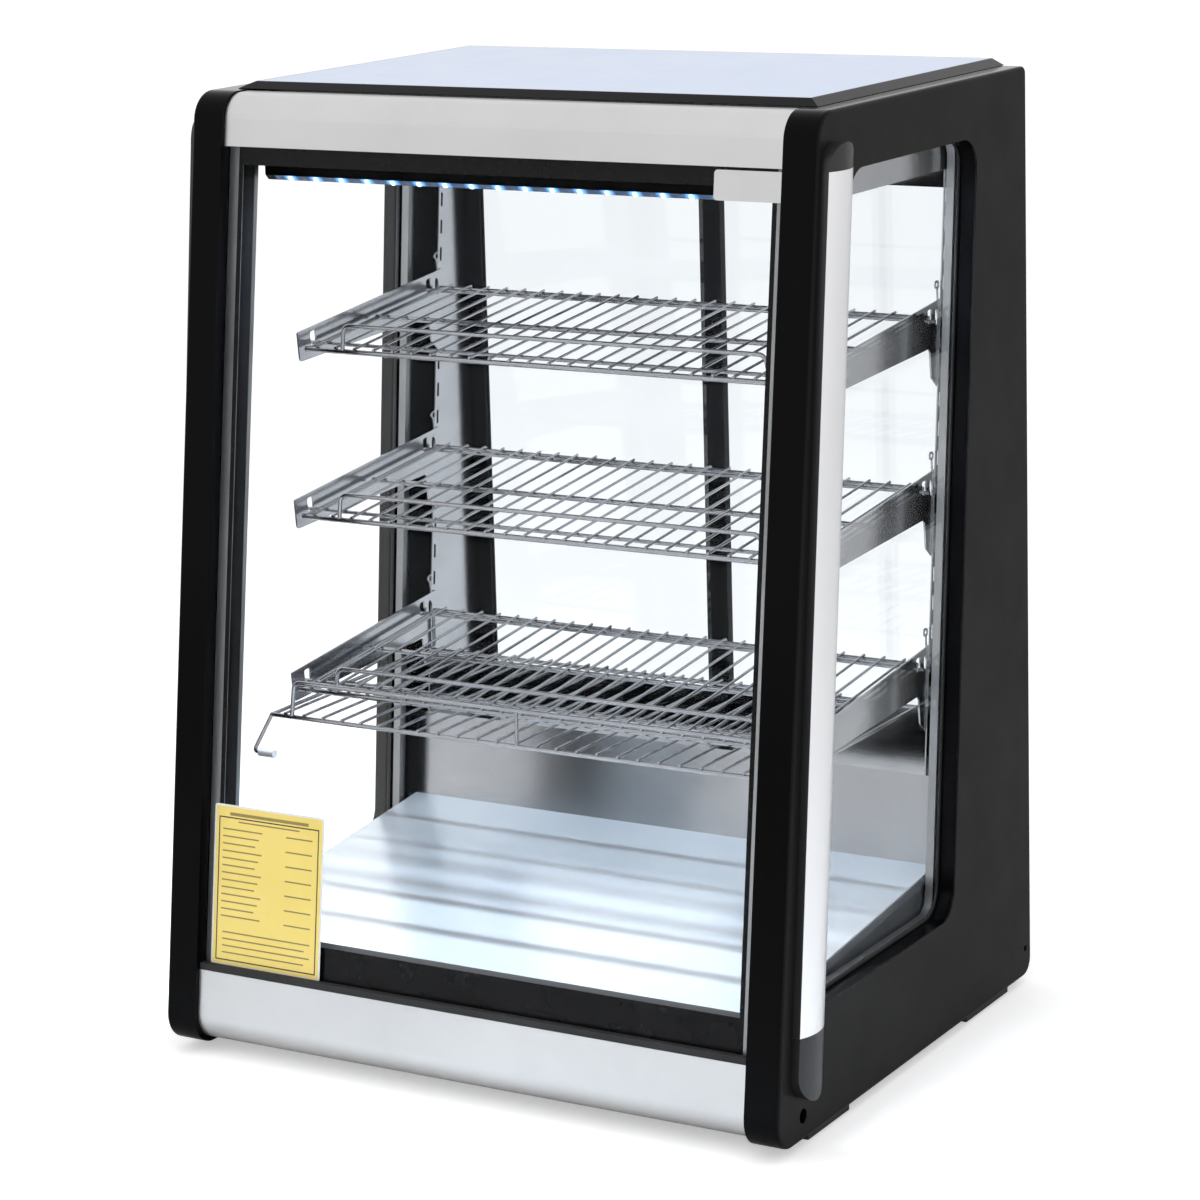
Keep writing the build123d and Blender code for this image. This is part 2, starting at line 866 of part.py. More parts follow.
def wire_shelf(height):
    """One welded wire shelf for the brackets at the given height."""
    local = shelf_plane(height)
    with BuildPart(local) as shelf:
        with Locations((0, -front_rail_reach, rail_level), (0, -middle_rail_reach, rail_level)):
            Cylinder(rail_radius, 2 * shelf_half_width, rotation=(0, 90, 0))
        with Locations((0, -rear_rail_reach, rail_level)):
            Cylinder(rail_radius, 2 * shelf_half_width, rotation=(0, 90, 0))
        with Locations((0, -rear_hook_reach, 0), (0, -front_hook_reach, 0)):
            Cylinder(hook_bar_radius, 2 * hook_half_width, rotation=(0, 90, 0))
        side_length = front_rail_reach - rear_rail_reach
        side_centre = (front_rail_reach + rear_rail_reach) / 2
        side_x = shelf_half_width - side_wire_radius - side_wire_inset
        with Locations((side_x, -side_centre, rail_level), (-side_x, -side_centre, rail_level)):
            Cylinder(side_wire_radius, side_length, rotation=(90, 0, 0))
        cross_length = side_length + 2 * rail_radius - 2 * weld_depth
        with Locations((0, -side_centre, cross_wire_level)):
            with GridLocations(cross_wire_pitch, 1, cross_wire_count, 1):
                Cylinder(cross_wire_radius, cross_length, rotation=(90, 0, 0))
        guard_plane = local.offset(0)
        guard_corners = [
            guard_plane.from_local_coords((-guard_half_width - guard_splay, -guard_foot_reach, rail_level)),
            guard_plane.from_local_coords((-guard_half_width, -guard_foot_reach, rail_level + guard_height)),
            guard_plane.from_local_coords((guard_half_width, -guard_foot_reach, rail_level + guard_height)),
            guard_plane.from_local_coords((guard_half_width + guard_splay, -guard_foot_reach, rail_level)),
        ]
    with BuildPart() as guarded:
        add(shelf.part)
        with BuildLine() as guard_path:
            FilletPolyline(*guard_corners, radius=guard_bend_radius)
        with BuildSketch(Plane(origin=guard_path.line @ 0, z_dir=guard_path.line % 0)):
            Circle(guard_wire_radius)
        sweep(path=guard_path.line)
    return guarded.part


for level, level_height in shelf_heights.items():
    finished_shelf = wire_shelf(level_height)
    with BuildPart() as level_shelf:
        add(finished_shelf)
    save(f"{level}_shelf", level_shelf)

# Hung rack: a wire basket floor under the lower shelf, hooked in the lower brackets

lower_height = shelf_heights["lower"]
hook_plane = bracket_plane(lower_height, 0)
hook_point = hook_plane.from_local_coords((oval_hole_reach, -oval_hole_bottom + hook_bar_radius + hook_clearance, 0))
hook_y = hook_point.Y
hook_z = hook_point.Z
rack_rail_radius = 2.5
rack_wire_pitch = 25.0
rack_wire_count = 25
rack_middle_gap = 150.0

with BuildPart() as hanging_rack:
    for rail_y in (rack_front, rack_front + rack_middle_gap, rack_back):
        with Locations((0, rail_y, rack_height)):
            Cylinder(rack_rail_radius, 2 * rack_half_width, rotation=(0, 90, 0))
    rack_cross_level = rack_height + rack_rail_radius + cross_wire_radius - weld_depth
    with Locations((0, (rack_front + rack_back) / 2, rack_cross_level)):
        with GridLocations(rack_wire_pitch, 1, rack_wire_count, 1):
            Cylinder(cross_wire_radius, rack_back - rack_front + 2 * rack_rail_radius, rotation=(90, 0, 0))
    for side in (1, -1):
        with BuildLine() as side_path:
            FilletPolyline(
                (side * rack_half_width, rack_front, rack_height),
                (side * rack_half_width, hook_y, rack_height),
                (side * rack_half_width, hook_y, hook_z),
                (side * hook_half_width, hook_y, hook_z),
                radius=[leg_bend_radius, leg_bend_radius / 2],
            )
        with BuildSketch(Plane(origin=side_path.line @ 0, z_dir=side_path.line % 0)):
            Circle(hook_bar_radius)
        sweep(path=side_path.line)
        leg_x = rack_half_width + leg_outward
        with BuildLine() as leg_path:
            FilletPolyline(
                (side * rack_half_width, rack_front, rack_height),
                (side * leg_x, rack_front - leg_forward, rack_height - leg_drop),
                (side * (leg_x - leg_inward), rack_front - leg_forward, rack_height - leg_drop),
                radius=leg_bend_radius,
            )
        with BuildSketch(Plane(origin=leg_path.line @ 0, z_dir=leg_path.line % 0)):
            Circle(hook_bar_radius)
        sweep(path=leg_path.line)
        with Locations((side * rack_half_width, rack_front, rack_height)):
            Sphere(rack_rail_radius)
    with BuildLine() as rack_guard_path:
        FilletPolyline(
            (-rack_guard_half_width - guard_splay, rack_front, rack_height),
            (-rack_guard_half_width, rack_front, rack_height + rack_guard_height),
            (rack_guard_half_width, rack_front, rack_height + rack_guard_height),
            (rack_guard_half_width + guard_splay, rack_front, rack_height),
            radius=guard_bend_radius,
        )
    with BuildSketch(Plane(origin=rack_guard_path.line @ 0, z_dir=rack_guard_path.line % 0)):
        Circle(guard_wire_radius)
    sweep(path=rack_guard_path.line)
    with Locations((0, rack_front, rack_height + rack_guard_height / 2)):
        Cylinder(guard_wire_radius - weld_depth, rack_guard_height)
save("hanging_rack", hanging_rack)

with BuildPart() as rack_feet:
    cap_centre_x = rack_half_width + leg_outward - leg_inward - foot_cap_length / 2
    for side in (1, -1):
        with Locations((side * cap_centre_x, rack_front - leg_forward, rack_height - leg_drop)):
            Cylinder(foot_cap_radius, foot_cap_length, rotation=(0, 90, 0))
save("rack_feet", rack_feet)

# Light bar: a black profile under the ceiling's front edge with a row of light points

light_back_y = front_y(ceiling_bottom) + ceiling_front_setback + light_bar_depth + light_bar_offset
light_front_y = light_back_y - light_bar_depth
light_chamfer = 6.0

with BuildPart() as light_bar:
    with BuildSketch(Plane.YZ.offset(-light_bar_length / 2)):
        with BuildLine():
            Polyline(
                (light_back_y, ceiling_bottom),
                (light_back_y, ceiling_bottom + light_bar_height),
                (light_front_y, ceiling_bottom + light_bar_height),
                (light_front_y, ceiling_bottom + light_chamfer),
                (light_front_y + light_chamfer, ceiling_bottom),
                close=True,
            )
        make_face()
    extrude(amount=light_bar_length)
save("light_bar", light_bar)

with BuildPart() as light_points:
    light_plane = Plane(
        origin=(0, light_front_y + light_chamfer / 2, ceiling_bottom + light_chamfer / 2),
        x_dir=(1, 0, 0),
        z_dir=(0, -1, -1),
    )
    with BuildSketch(light_plane):
        with GridLocations(light_pitch, 1, light_count, 1):
            RectangleRounded(light_size, light_size, 1)
    extrude(amount=light_height)
save("light_points", light_points)

# Ceiling tray: a folded tray that hangs between the side panels and holds the evaporator

ceiling_back_y = back_y - ledge_back_margin
air_slot_length = 70.0
air_slot_width = 6.0
air_slot_pitch = 14.0

with BuildPart() as ceiling_tray:
    with BuildSketch(Plane.XY.offset(ceiling_bottom)):
        with Locations((0, (light_back_y + ceiling_back_y) / 2)):
            Rectangle(2 * inner_x, ceiling_back_y - light_back_y)
        with Locations((-0, ceiling_slot_y)):
            with GridLocations(air_slot_pitch, 1, 36, 1):
                Rectangle(air_slot_width, air_slot_length, mode=Mode.SUBTRACT)
        with Locations((pipe_x, pipe_y), (pipe_x, second_pipe_y), (-pipe_x, pipe_y)):
            Circle(pipe_hole_radius, mode=Mode.SUBTRACT)
    extrude(amount=ceiling_wall)
    with BuildSketch(Plane.XY.offset(ceiling_bottom)):
        with Locations((0, (light_back_y + ceiling_back_y) / 2)):
            Rectangle(2 * inner_x, ceiling_back_y - light_back_y)
            Rectangle(
                2 * (inner_x - ceiling_wall),
                ceiling_back_y - light_back_y - 2 * ceiling_wall,
                mode=Mode.SUBTRACT,
            )
    extrude(amount=side_top - ceiling_bottom)
save("ceiling_tray", ceiling_tray)

# Header rail behind the upper trim, and the rail over the rear doors

header_front_y = front_y(front_glass_top) + front_glass_setback + header_inset

with BuildPart() as header_rail:
    with BuildSketch(Plane.YZ.offset(-inner_x)):
        with BuildLine():
            Polyline(
                (header_front_y, front_glass_top),
                (light_back_y, front_glass_top),
                (light_back_y, top_trim_top - trim_wall),
                (header_front_y + header_cut, top_trim_top - trim_wall),
                (header_front_y, top_trim_top - trim_wall - header_cut),
                close=True,
            )
        make_face()
    extrude(amount=2 * inner_x)
save("header_rail", header_rail)

rear_rail_depth = jamb_depth

with BuildPart() as rear_top_rail:
    with Locations((0, ceiling_back_y, ceiling_bottom)):
        Box(
            2 * inner_x,
            rear_rail_depth,
            side_top - ceiling_bottom,
            align=(Align.CENTER, Align.MIN, Align.MIN),
        )
save("rear_top_rail", rear_top_rail)

# Base: a folded tray with a sill for the front glass, and insulation under the floor

base_low = bottom_trim_bottom + trim_wall
base_inside = base_low + base_sheet
base_back_y = back_y - base_back_margin
bulkhead_y = upright_y(floor_back_height)

with BuildPart() as base_tray:
    with BuildSketch(Plane.YZ.offset(-inner_x)):
        with BuildLine():
            Polyline(
                (-base_front, base_low),
                (base_back_y, base_low),
                (base_back_y, base_inside),
                (bulkhead_y + base_sheet, base_inside),
                (bulkhead_y + base_sheet, floor_back_height - 2 * sheet),
                (bulkhead_y, floor_back_height - 2 * sheet),
                (bulkhead_y, base_inside),
                (-base_front + base_sheet, base_inside),
                (-base_front + base_sheet, sill_height),
                (-sill_front, sill_height),
                (-sill_front, sill_height - base_sheet),
                (-base_front, sill_height - base_sheet),
                close=True,
            )
        make_face()
    extrude(amount=2 * inner_x)
save("base_tray", base_tray)

insulation_front_y = floor_front_y + sheet
floor_slope = (floor_back_height - floor_front_height) / (floor_back_y - floor_front_y)
insulation_front_z = floor_front_height + (insulation_front_y - floor_front_y) * floor_slope - 2 * sheet
insulation_back_z = floor_back_height - 2 * sheet

with BuildPart() as base_insulation:
    with BuildSketch(Plane.YZ.offset(-inner_x)):
        with BuildLine():
            Polyline(
                (insulation_front_y, base_inside),
                (bulkhead_y, base_inside),
                (bulkhead_y, insulation_back_z),
                (insulation_front_y, insulation_front_z),
                close=True,
            )
        make_face()
    extrude(amount=2 * inner_x)
save("base_insulation", base_insulation)

# Door tracks and jambs around the rear opening

rear_door_back = back_y - door_back_margin
rear_door_front = rear_door_back - door_thickness
front_door_back = rear_door_front - track_gap
front_door_front = front_door_back - door_thickness
opening_half = inner_x - jamb_width
groove_width = door_thickness + 2 * track_running_gap
groove_places = [(front_door_front + front_door_back) / 2, (rear_door_front + rear_door_back) / 2]

with BuildPart() as door_tracks:
    with Locations((0, ceiling_back_y, lower_track_bottom)):
        Box(
            2 * inner_x,
            jamb_depth,
            lower_track_top - lower_track_bottom,
            align=(Align.CENTER, Align.MIN, Align.MIN),
        )
    with Locations((0, ceiling_back_y, upper_track_bottom)):
        Box(
            2 * inner_x,
            jamb_depth,
            ceiling_bottom - upper_track_bottom,
            align=(Align.CENTER, Align.MIN, Align.MIN),
        )
    for groove_y in groove_places:
        with Locations((0, groove_y, lower_track_top)):
            Box(
                2 * opening_half,
                groove_width,
                lower_groove_depth,
                align=(Align.CENTER, Align.CENTER, Align.MAX),
                mode=Mode.SUBTRACT,
            )
        with Locations((0, groove_y, upper_track_bottom)):
            Box(
                2 * opening_half,
                groove_width,
                upper_groove_depth,
                align=(Align.CENTER, Align.CENTER, Align.MIN),
                mode=Mode.SUBTRACT,
            )
save("door_tracks", door_tracks)

with BuildPart() as door_jambs:
    for side in (1, -1):
        with Locations((side * (opening_half + jamb_width / 2), ceiling_back_y, lower_track_top)):
            Box(
                jamb_width,
                jamb_depth,
                upper_track_bottom - lower_track_top,
                align=(Align.CENTER, Align.MIN, Align.MIN),
            )
save("door_jambs", door_jambs)

# Sliding doors: black frames around one pane each


def door_frame(inner_edge, outer_edge, front, pull_x):
    """A door frame between two X edges, its inside face at Y = front."""
    centre_x = (inner_edge + outer_edge) / 2
    centre_z = (door_bottom + door_top) / 2
    width = abs(outer_edge - inner_edge)
    height = door_top - door_bottom
    with BuildPart() as frame:
        with Locations((centre_x, front, centre_z)):
            Box(width, door_thickness, height, align=(Align.CENTER, Align.MIN, Align.CENTER))
            Box(
                width - 2 * door_stile,
                door_thickness,
                height - 2 * door_rail,
                align=(Align.CENTER, Align.MIN, Align.CENTER),
                mode=Mode.SUBTRACT,
            )
        with Locations((centre_x, front + door_thickness / 2, centre_z)):
            Box(
                width - 2 * door_stile + 2 * door_glass_rebate,
                door_glass_thickness,
                height - 2 * door_rail + 2 * door_glass_rebate,
                mode=Mode.SUBTRACT,
            )
        with Locations((pull_x, front + door_thickness, centre_z)):
            Box(pull_width, pull_depth, pull_length, align=(Align.CENTER, Align.MAX, Align.CENTER), mode=Mode.SUBTRACT)
    return frame.part


def door_pane(inner_edge, outer_edge, front):
    """The pane held in a door frame's groove."""
    centre_x = (inner_edge + outer_edge) / 2
    centre_z = (door_bottom + door_top) / 2
    width = abs(outer_edge - inner_edge)
    height = door_top - door_bottom
    with BuildPart() as pane:
        with Locations((centre_x, front + door_thickness / 2, centre_z)):
            Box(
                width - 2 * door_stile + 2 * door_glass_rebate,
                door_glass_thickness,
                height - 2 * door_rail + 2 * door_glass_rebate,
            )
    return pane.part


door_outer = opening_half - door_side_clearance
pull_place = door_outer - door_stile / 2
left_frame_part = door_frame(door_overlap, -door_outer, front_door_front, -pull_place)
left_pane_part = door_pane(door_overlap, -door_outer, front_door_front)
right_frame_part = door_frame(-door_overlap, door_outer, rear_door_front, pull_place)
right_pane_part = door_pane(-door_overlap, door_outer, rear_door_front)

with BuildPart() as left_door_frame:
    add(left_frame_part)
save("left_door_frame", left_door_frame)

with BuildPart() as left_door_glass:
    add(left_pane_part)
save("left_door_glass", left_door_glass)

with BuildPart() as right_door_frame:
    add(right_frame_part)
save("right_door_frame", right_door_frame)

with BuildPart() as right_door_glass:
    add(right_pane_part)
save("right_door_glass", right_door_glass)

# Rear cover: a louvred sheet with openings for the switches, the controller and the inlet

cover_sheet = 2.0
cover_sheet_front = base_back_y - cover_sheet
louvre_length = 118.0
louvre_height = 7.0
louvre_pitch = 16.0
louvre_rows = 9
louvre_z = 104.0
housing_width = 28.0
housing_height = 38.0
housing_front_gap = 13.0
controller_width = 76.0
controller_height = 32.0
controller_depth = 46.0
inlet_x = 285.0
inlet_z = 62.0
inlet_width = 30.0
inlet_height = 24.0
inlet_depth = 28.0
switch_places = [(switch_x, switch_height), (switch_x + switch_pitch, switch_height)]

with BuildPart() as rear_cover:
    with BuildSketch(Plane.XZ.offset(-base_back_y)):
        with Locations((0, (base_inside + lower_track_bottom) / 2)):
            Rectangle(2 * inner_x, lower_track_bottom - base_inside)
        with Locations(*switch_places):
            Rectangle(housing_width, housing_height, mode=Mode.SUBTRACT)
        with Locations((controller_x, switch_height)):
            Rectangle(controller_width, controller_height, mode=Mode.SUBTRACT)
        with Locations((inlet_x, inlet_z)):
            Rectangle(inlet_width, inlet_height, mode=Mode.SUBTRACT)
        for column_x in (-240, -100, 40, 180):
            with Locations((column_x, louvre_z)):
                with GridLocations(1, louvre_pitch, 1, louvre_rows):
                    SlotOverall(louvre_length, louvre_height, mode=Mode.SUBTRACT)
    extrude(amount=cover_sheet)
save("rear_cover", rear_cover)

# Rocker switches in two housings on the rear cover

pivot_y = base_back_y - 4.0
housing_back_y = base_back_y + 2.0
housing_floor = 3.0
cavity_half_height = 15.6
rocker_half_height = 14.0
rocker_inner = 4.0
rocker_outer = 6.5
pin_bore_clearance = 0.05
pin_reach = 2.0

with BuildPart() as switch_housings:
    for place_x, place_z in switch_places:
        with Locations((place_x, housing_back_y, place_z)):
            Box(
                housing_width,
                housing_front_gap + housing_floor,
                housing_height,
                align=(Align.CENTER, Align.MAX, Align.CENTER),
            )
            Box(
                rocker_width + 2 * rocker_gap,
                housing_front_gap,
                2 * cavity_half_height,
                align=(Align.CENTER, Align.MAX, Align.CENTER),
                mode=Mode.SUBTRACT,
            )
        with Locations((place_x, pivot_y, place_z)):
            Cylinder(
                rocker_pin_radius + pin_bore_clearance,
                rocker_width + 2 * pin_reach + 2 * rocker_gap,
                rotation=(0, 90, 0),
                mode=Mode.SUBTRACT,
            )
save("switch_housings", switch_housings)


def rocker(place_x):
    """A two-facet rocker with pivot pins, at the given X."""
    with BuildPart() as key:
        with BuildSketch(Plane.YZ.offset(place_x - rocker_width / 2)):
            with BuildLine():
                Polyline(
                    (pivot_y - rocker_inner, switch_height - rocker_half_height + 3),
                    (pivot_y - rocker_inner, switch_height + rocker_half_height - 3),
                    (pivot_y + rocker_outer - 2, switch_height + rocker_half_height),
                    (pivot_y + rocker_outer, switch_height + rocker_half_height),
                    (pivot_y + rocker_outer - 2.5, switch_height),
                    (pivot_y + rocker_outer, switch_height - rocker_half_height),
                    (pivot_y + rocker_outer - 2, switch_height - rocker_half_height),
                    close=True,
                )
            make_face()
        extrude(amount=rocker_width)
        with Locations((place_x, pivot_y, switch_height)):
            Cylinder(rocker_pin_radius, rocker_width + 2 * pin_reach, rotation=(0, 90, 0))
    return key.part


power_key = rocker(switch_x)
light_key = rocker(switch_x + switch_pitch)

with BuildPart() as power_switch:
    add(power_key)
save("power_switch", power_switch)

with BuildPart() as light_switch:
    add(light_key)
save("light_switch", light_switch)

# Temperature controller: a housing with a shallow window and two keys on its rear face

with BuildPart() as controller:
    with Locations((controller_x, housing_back_y, switch_height)):
        Box(
            controller_width,
            controller_depth,
            controller_height,
            align=(Align.CENTER, Align.MAX, Align.CENTER),
        )
    with Locations((controller_x - 14, housing_back_y, switch_height)):
        Box(42, 1, 20, align=(Align.CENTER, Align.MAX, Align.CENTER), mode=Mode.SUBTRACT)
    with Locations((controller_x + 18, housing_back_y, switch_height), (controller_x + 29, housing_back_y, switch_height)):
        Box(8, 1.2, 8, align=(Align.CENTER, Align.MIN, Align.CENTER))
save("controller", controller)

# Power inlet: a shrouded socket with three pins

inlet_wall = 3.0
inlet_pin_radius = 2.0
inlet_pin_length = 14.0

with BuildPart() as power_inlet:
    with Locations((inlet_x, housing_back_y, inlet_z)):
        Box(inlet_width, inlet_depth, inlet_height, align=(Align.CENTER, Align.MAX, Align.CENTER))
        Box(
            inlet_width - 2 * inlet_wall,
            inlet_depth - inlet_wall,
            inlet_height - 2 * inlet_wall,
            align=(Align.CENTER, Align.MAX, Align.CENTER),
            mode=Mode.SUBTRACT,
        )
    pin_y = housing_back_y - inlet_depth + inlet_wall
    for pin_x, pin_z in ((-7, -2), (7, -2), (0, 3)):
        with Locations((inlet_x + pin_x, pin_y, inlet_z + pin_z)):
            Cylinder(
                inlet_pin_radius,
                inlet_pin_length,
                rotation=(-90, 0, 0),
                align=(Align.CENTER, Align.CENTER, Align.MIN),
            )
save("power_inlet", power_inlet)

# Compressor on rubber-mounted base plate

compressor_y = (bulkhead_y + base_back_y) / 2
mount_height = 12.0
mount_radius = 9.0
plate_thickness = 3.0
compressor_bottom = base_inside + mount_height + plate_thickness
compressor_top = compressor_bottom + compressor_height
dome_radius = 24.0

with BuildPart() as compressor:
    with Locations((compressor_x, compressor_y, compressor_bottom)):
        Cylinder(compressor_radius, compressor_height, align=(Align.CENTER, Align.CENTER, Align.MIN))
    dome_edge = compressor.edges().sort_by(Axis.Z)[-1]
    fillet(dome_edge, radius=dome_radius)
    with Locations((compressor_x, compressor_y, compressor_bottom)):
        Box(170, 120, plate_thickness, align=(Align.CENTER, Align.CENTER, Align.MAX))
    with Locations((compressor_x, compressor_y, base_inside)):
        with GridLocations(146, 96, 2, 2):
            Cylinder(mount_radius, mount_height, align=(Align.CENTER, Align.CENTER, Align.MIN))
    with Locations((compressor_x + compressor_radius - 4, compressor_y, compressor_bottom + 70)):
        Box(26, 44, 56, align=(Align.MIN, Align.CENTER, Align.CENTER))
save("compressor", compressor)

# Condenser: a finned coil with a fan shroud plate

condenser_back_y = cover_sheet_front - 16.0
condenser_front_y = condenser_back_y - condenser_depth
condenser_z = base_inside + condenser_height / 2
fin_thickness = 1.0
fin_count = 15
tube_radius = 4.0
shroud_thickness = 2.0
shroud_hole_radius = fan_radius + 4.0

with BuildPart() as condenser:
    with Locations((condenser_x, (condenser_front_y + condenser_back_y) / 2, condenser_z)):
        with GridLocations(fin_pitch, 1, fin_count, 1):
            Box(fin_thickness, condenser_depth, condenser_height)
    for tube_z in (-54, -18, 18, 54):
        with Locations((condenser_x, (condenser_front_y + condenser_back_y) / 2, condenser_z + tube_z)):
            Cylinder(tube_radius, condenser_width, rotation=(0, 90, 0))
    with Locations((condenser_x, condenser_front_y, condenser_z)):
        Box(
            condenser_width,
            shroud_thickness,
            condenser_height,
            align=(Align.CENTER, Align.MAX, Align.CENTER),
        )
        Cylinder(
            shroud_hole_radius,
            shroud_thickness,
            rotation=(90, 0, 0),
            align=(Align.CENTER, Align.CENTER, Align.MIN),
            mode=Mode.SUBTRACT,
        )
save("condenser", condenser)

# Fan motors with a fixed shaft, and the blades that turn on the shafts

fan_centre_z = condenser_z
blade_back_y = condenser_front_y - shroud_thickness - 4.0
blade_front_y = blade_back_y - fan_blade_depth
shaft_end_y = blade_back_y + 1.0
motor_back_y = blade_front_y - 3.0
motor_front_y = bulkhead_y + base_sheet + 8.0
motor_radius = 22.0

with BuildPart() as condenser_fan_motor:
    with Locations((condenser_x, motor_front_y, fan_centre_z)):
        Cylinder(
            motor_radius,
            motor_back_y - motor_front_y,
            rotation=(-90, 0, 0),
            align=(Align.CENTER, Align.CENTER, Align.MIN),
        )
        Cylinder(
            fan_shaft_radius,
            shaft_end_y - motor_front_y,
            rotation=(-90, 0, 0),
            align=(Align.CENTER, Align.CENTER, Align.MIN),
        )
    with Locations((condenser_x, (motor_front_y + motor_back_y) / 2, base_inside)):
        Box(24, 16, fan_centre_z - base_inside, align=(Align.CENTER, Align.CENTER, Align.MIN))
        Box(60, 24, 3, align=(Align.CENTER, Align.CENTER, Align.MIN))
save("condenser_fan_motor", condenser_fan_motor)


def fan_blade(local, radius, depth):
    """A bladed rotor on a local plane whose Z is the fan's axis."""
    with BuildPart(local) as rotor:
        Cylinder(fan_hub_radius, depth, align=(Align.CENTER, Align.CENTER, Align.MIN))
        with PolarLocations(0, fan_blade_count):
            with Locations(Location(((radius + fan_hub_radius) / 2 - 1, 0, depth / 2), (28, 0, 0))):
                Box(radius - fan_hub_radius + 2, radius * 0.4, 1.6)
        Cylinder(radius, depth, align=(Align.CENTER, Align.CENTER, Align.MIN), mode=Mode.INTERSECT)
        Cylinder(
            fan_shaft_radius + fan_shaft_clearance,
            depth,
            align=(Align.CENTER, Align.CENTER, Align.MIN),
            mode=Mode.SUBTRACT,
        )
    return rotor.part


condenser_rotor = fan_blade(
    Plane(origin=(condenser_x, blade_front_y, fan_centre_z), x_dir=(1, 0, 0), z_dir=(0, 1, 0)),
    fan_radius,
    fan_blade_depth,
)

with BuildPart() as condenser_fan_blade:
    add(condenser_rotor)
save("condenser_fan_blade", condenser_fan_blade)

# Evaporator and its fan inside the ceiling tray

evaporator_y = 110.0
evaporator_low = ceiling_bottom + ceiling_wall
evaporator_z = evaporator_low + evaporator_height / 2
evaporator_left = evaporator_x - evaporator_width / 2

with BuildPart() as evaporator:
    with Locations((evaporator_x, evaporator_y, evaporator_z)):
        with GridLocations(fin_pitch, 1, 27, 1):
            Box(fin_thickness, evaporator_depth, evaporator_height)
    for tube_y in (-36, 0, 36):
        for tube_z in (-16, 16):
            with Locations((evaporator_x, evaporator_y + tube_y, evaporator_z + tube_z)):
                Cylinder(tube_radius, evaporator_width, rotation=(0, 90, 0))
save("evaporator", evaporator)

cool_motor_right = cool_fan_x + 62.0
cool_motor_left = cool_fan_x + 22.0
cool_fan_z = (evaporator_low + side_top) / 2
cool_blade_depth = 12.0
cool_shroud_x = cool_fan_x - 10.0

with BuildPart() as evaporator_fan_motor:
    with Locations((cool_motor_left, evaporator_y, cool_fan_z)):
        Cylinder(18, cool_motor_right - cool_motor_left, rotation=(0, 90, 0), align=(Align.CENTER, Align.CENTER, Align.MIN))
    with Locations((cool_fan_x - 1, evaporator_y, cool_fan_z)):
        Cylinder(
            fan_shaft_radius,
            cool_motor_right - cool_fan_x,
            rotation=(0, 90, 0),
            align=(Align.CENTER, Align.CENTER, Align.MIN),
        )
    with Locations(((cool_motor_left + cool_motor_right) / 2, evaporator_y, evaporator_low)):
        Box(16, 30, cool_fan_z - evaporator_low, align=(Align.CENTER, Align.CENTER, Align.MIN))
    with Locations((cool_shroud_x, evaporator_y, cool_fan_z)):
        Box(2, 130, side_top - evaporator_low, align=(Align.MAX, Align.CENTER, Align.CENTER))
        Cylinder(
            cool_fan_radius - 4,
            4,
            rotation=(0, 90, 0),
            align=(Align.CENTER, Align.CENTER, Align.CENTER),
            mode=Mode.SUBTRACT,
        )
save("evaporator_fan_motor", evaporator_fan_motor)

cool_rotor = fan_blade(
    Plane(origin=(cool_fan_x, evaporator_y, cool_fan_z), x_dir=(0, 1, 0), z_dir=(1, 0, 0)),
    cool_fan_radius - 8,
    cool_blade_depth,
)

with BuildPart() as evaporator_fan_blade:
    add(cool_rotor)
save("evaporator_fan_blade", evaporator_fan_blade)

# Refrigerant pipes: up one rear corner to the evaporator, and across to the condenser

pipe_bend = 12.0
pipe_run_z = 240.0
pipe_top_z = evaporator_z + 16


def pipe(points, radius):
    """A bent pipe through the given points."""
    with BuildPart() as run:
        with BuildLine() as route:
            FilletPolyline(*points, radius=pipe_bend)
        with BuildSketch(Plane(origin=route.line @ 0, z_dir=route.line % 0)):
            Circle(radius)
        sweep(path=route.line)
    return run.part


suction_pipe = pipe(
    [
        (compressor_x - 20, compressor_y, compressor_top),
        (compressor_x - 20, compressor_y, pipe_run_z),
        (pipe_x, pipe_y, pipe_run_z),
        (pipe_x, pipe_y, pipe_top_z),
        (pipe_x, evaporator_y, pipe_top_z),
        (evaporator_left, evaporator_y, pipe_top_z),
    ],
    pipe_radius,
)
condenser_left = condenser_x - condenser_width / 2
condenser_mid_y = (condenser_front_y + condenser_back_y) / 2
liquid_pipe = pipe(
    [
        (condenser_left, condenser_mid_y, condenser_z + 54),
        (condenser_left - 16, condenser_mid_y, condenser_z + 54),
        (condenser_left - 16, condenser_mid_y, pipe_run_z + 14),
        (pipe_x, second_pipe_y, pipe_run_z + 14),
        (pipe_x, second_pipe_y, pipe_top_z + 20),
        (evaporator_left - 40, second_pipe_y, pipe_top_z + 20),
        (evaporator_left - 40, evaporator_y + 36, pipe_top_z),
        (evaporator_left, evaporator_y + 36, pipe_top_z),
    ],
    pipe_radius,
)
hot_pipe = pipe(
    [
        (compressor_x + 20, compressor_y, compressor_top),
        (compressor_x + 20, compressor_y, pipe_run_z - 20),
        (condenser_left - 40, condenser_mid_y, pipe_run_z - 20),
        (condenser_left - 40, condenser_mid_y, condenser_z - 18),
        (condenser_left, condenser_mid_y, condenser_z - 18),
    ],
    pipe_radius,
)

with BuildPart() as refrigerant_pipes:
    add(suction_pipe)
    add(liquid_pipe)
    add(hot_pipe)
save("refrigerant_pipes", refrigerant_pipes)

# Drain: a tube down the other rear corner into a tray on the base

drain_radius = 4.0
drain_tray_height = 24.0
drain_tray_wall = 2.0
drain_tray_x = 266.0
drain_tray_width = 140.0
drain_tray_length = 90.0
drain_tray_y = bulkhead_y + base_sheet + drain_tray_length / 2 + 6

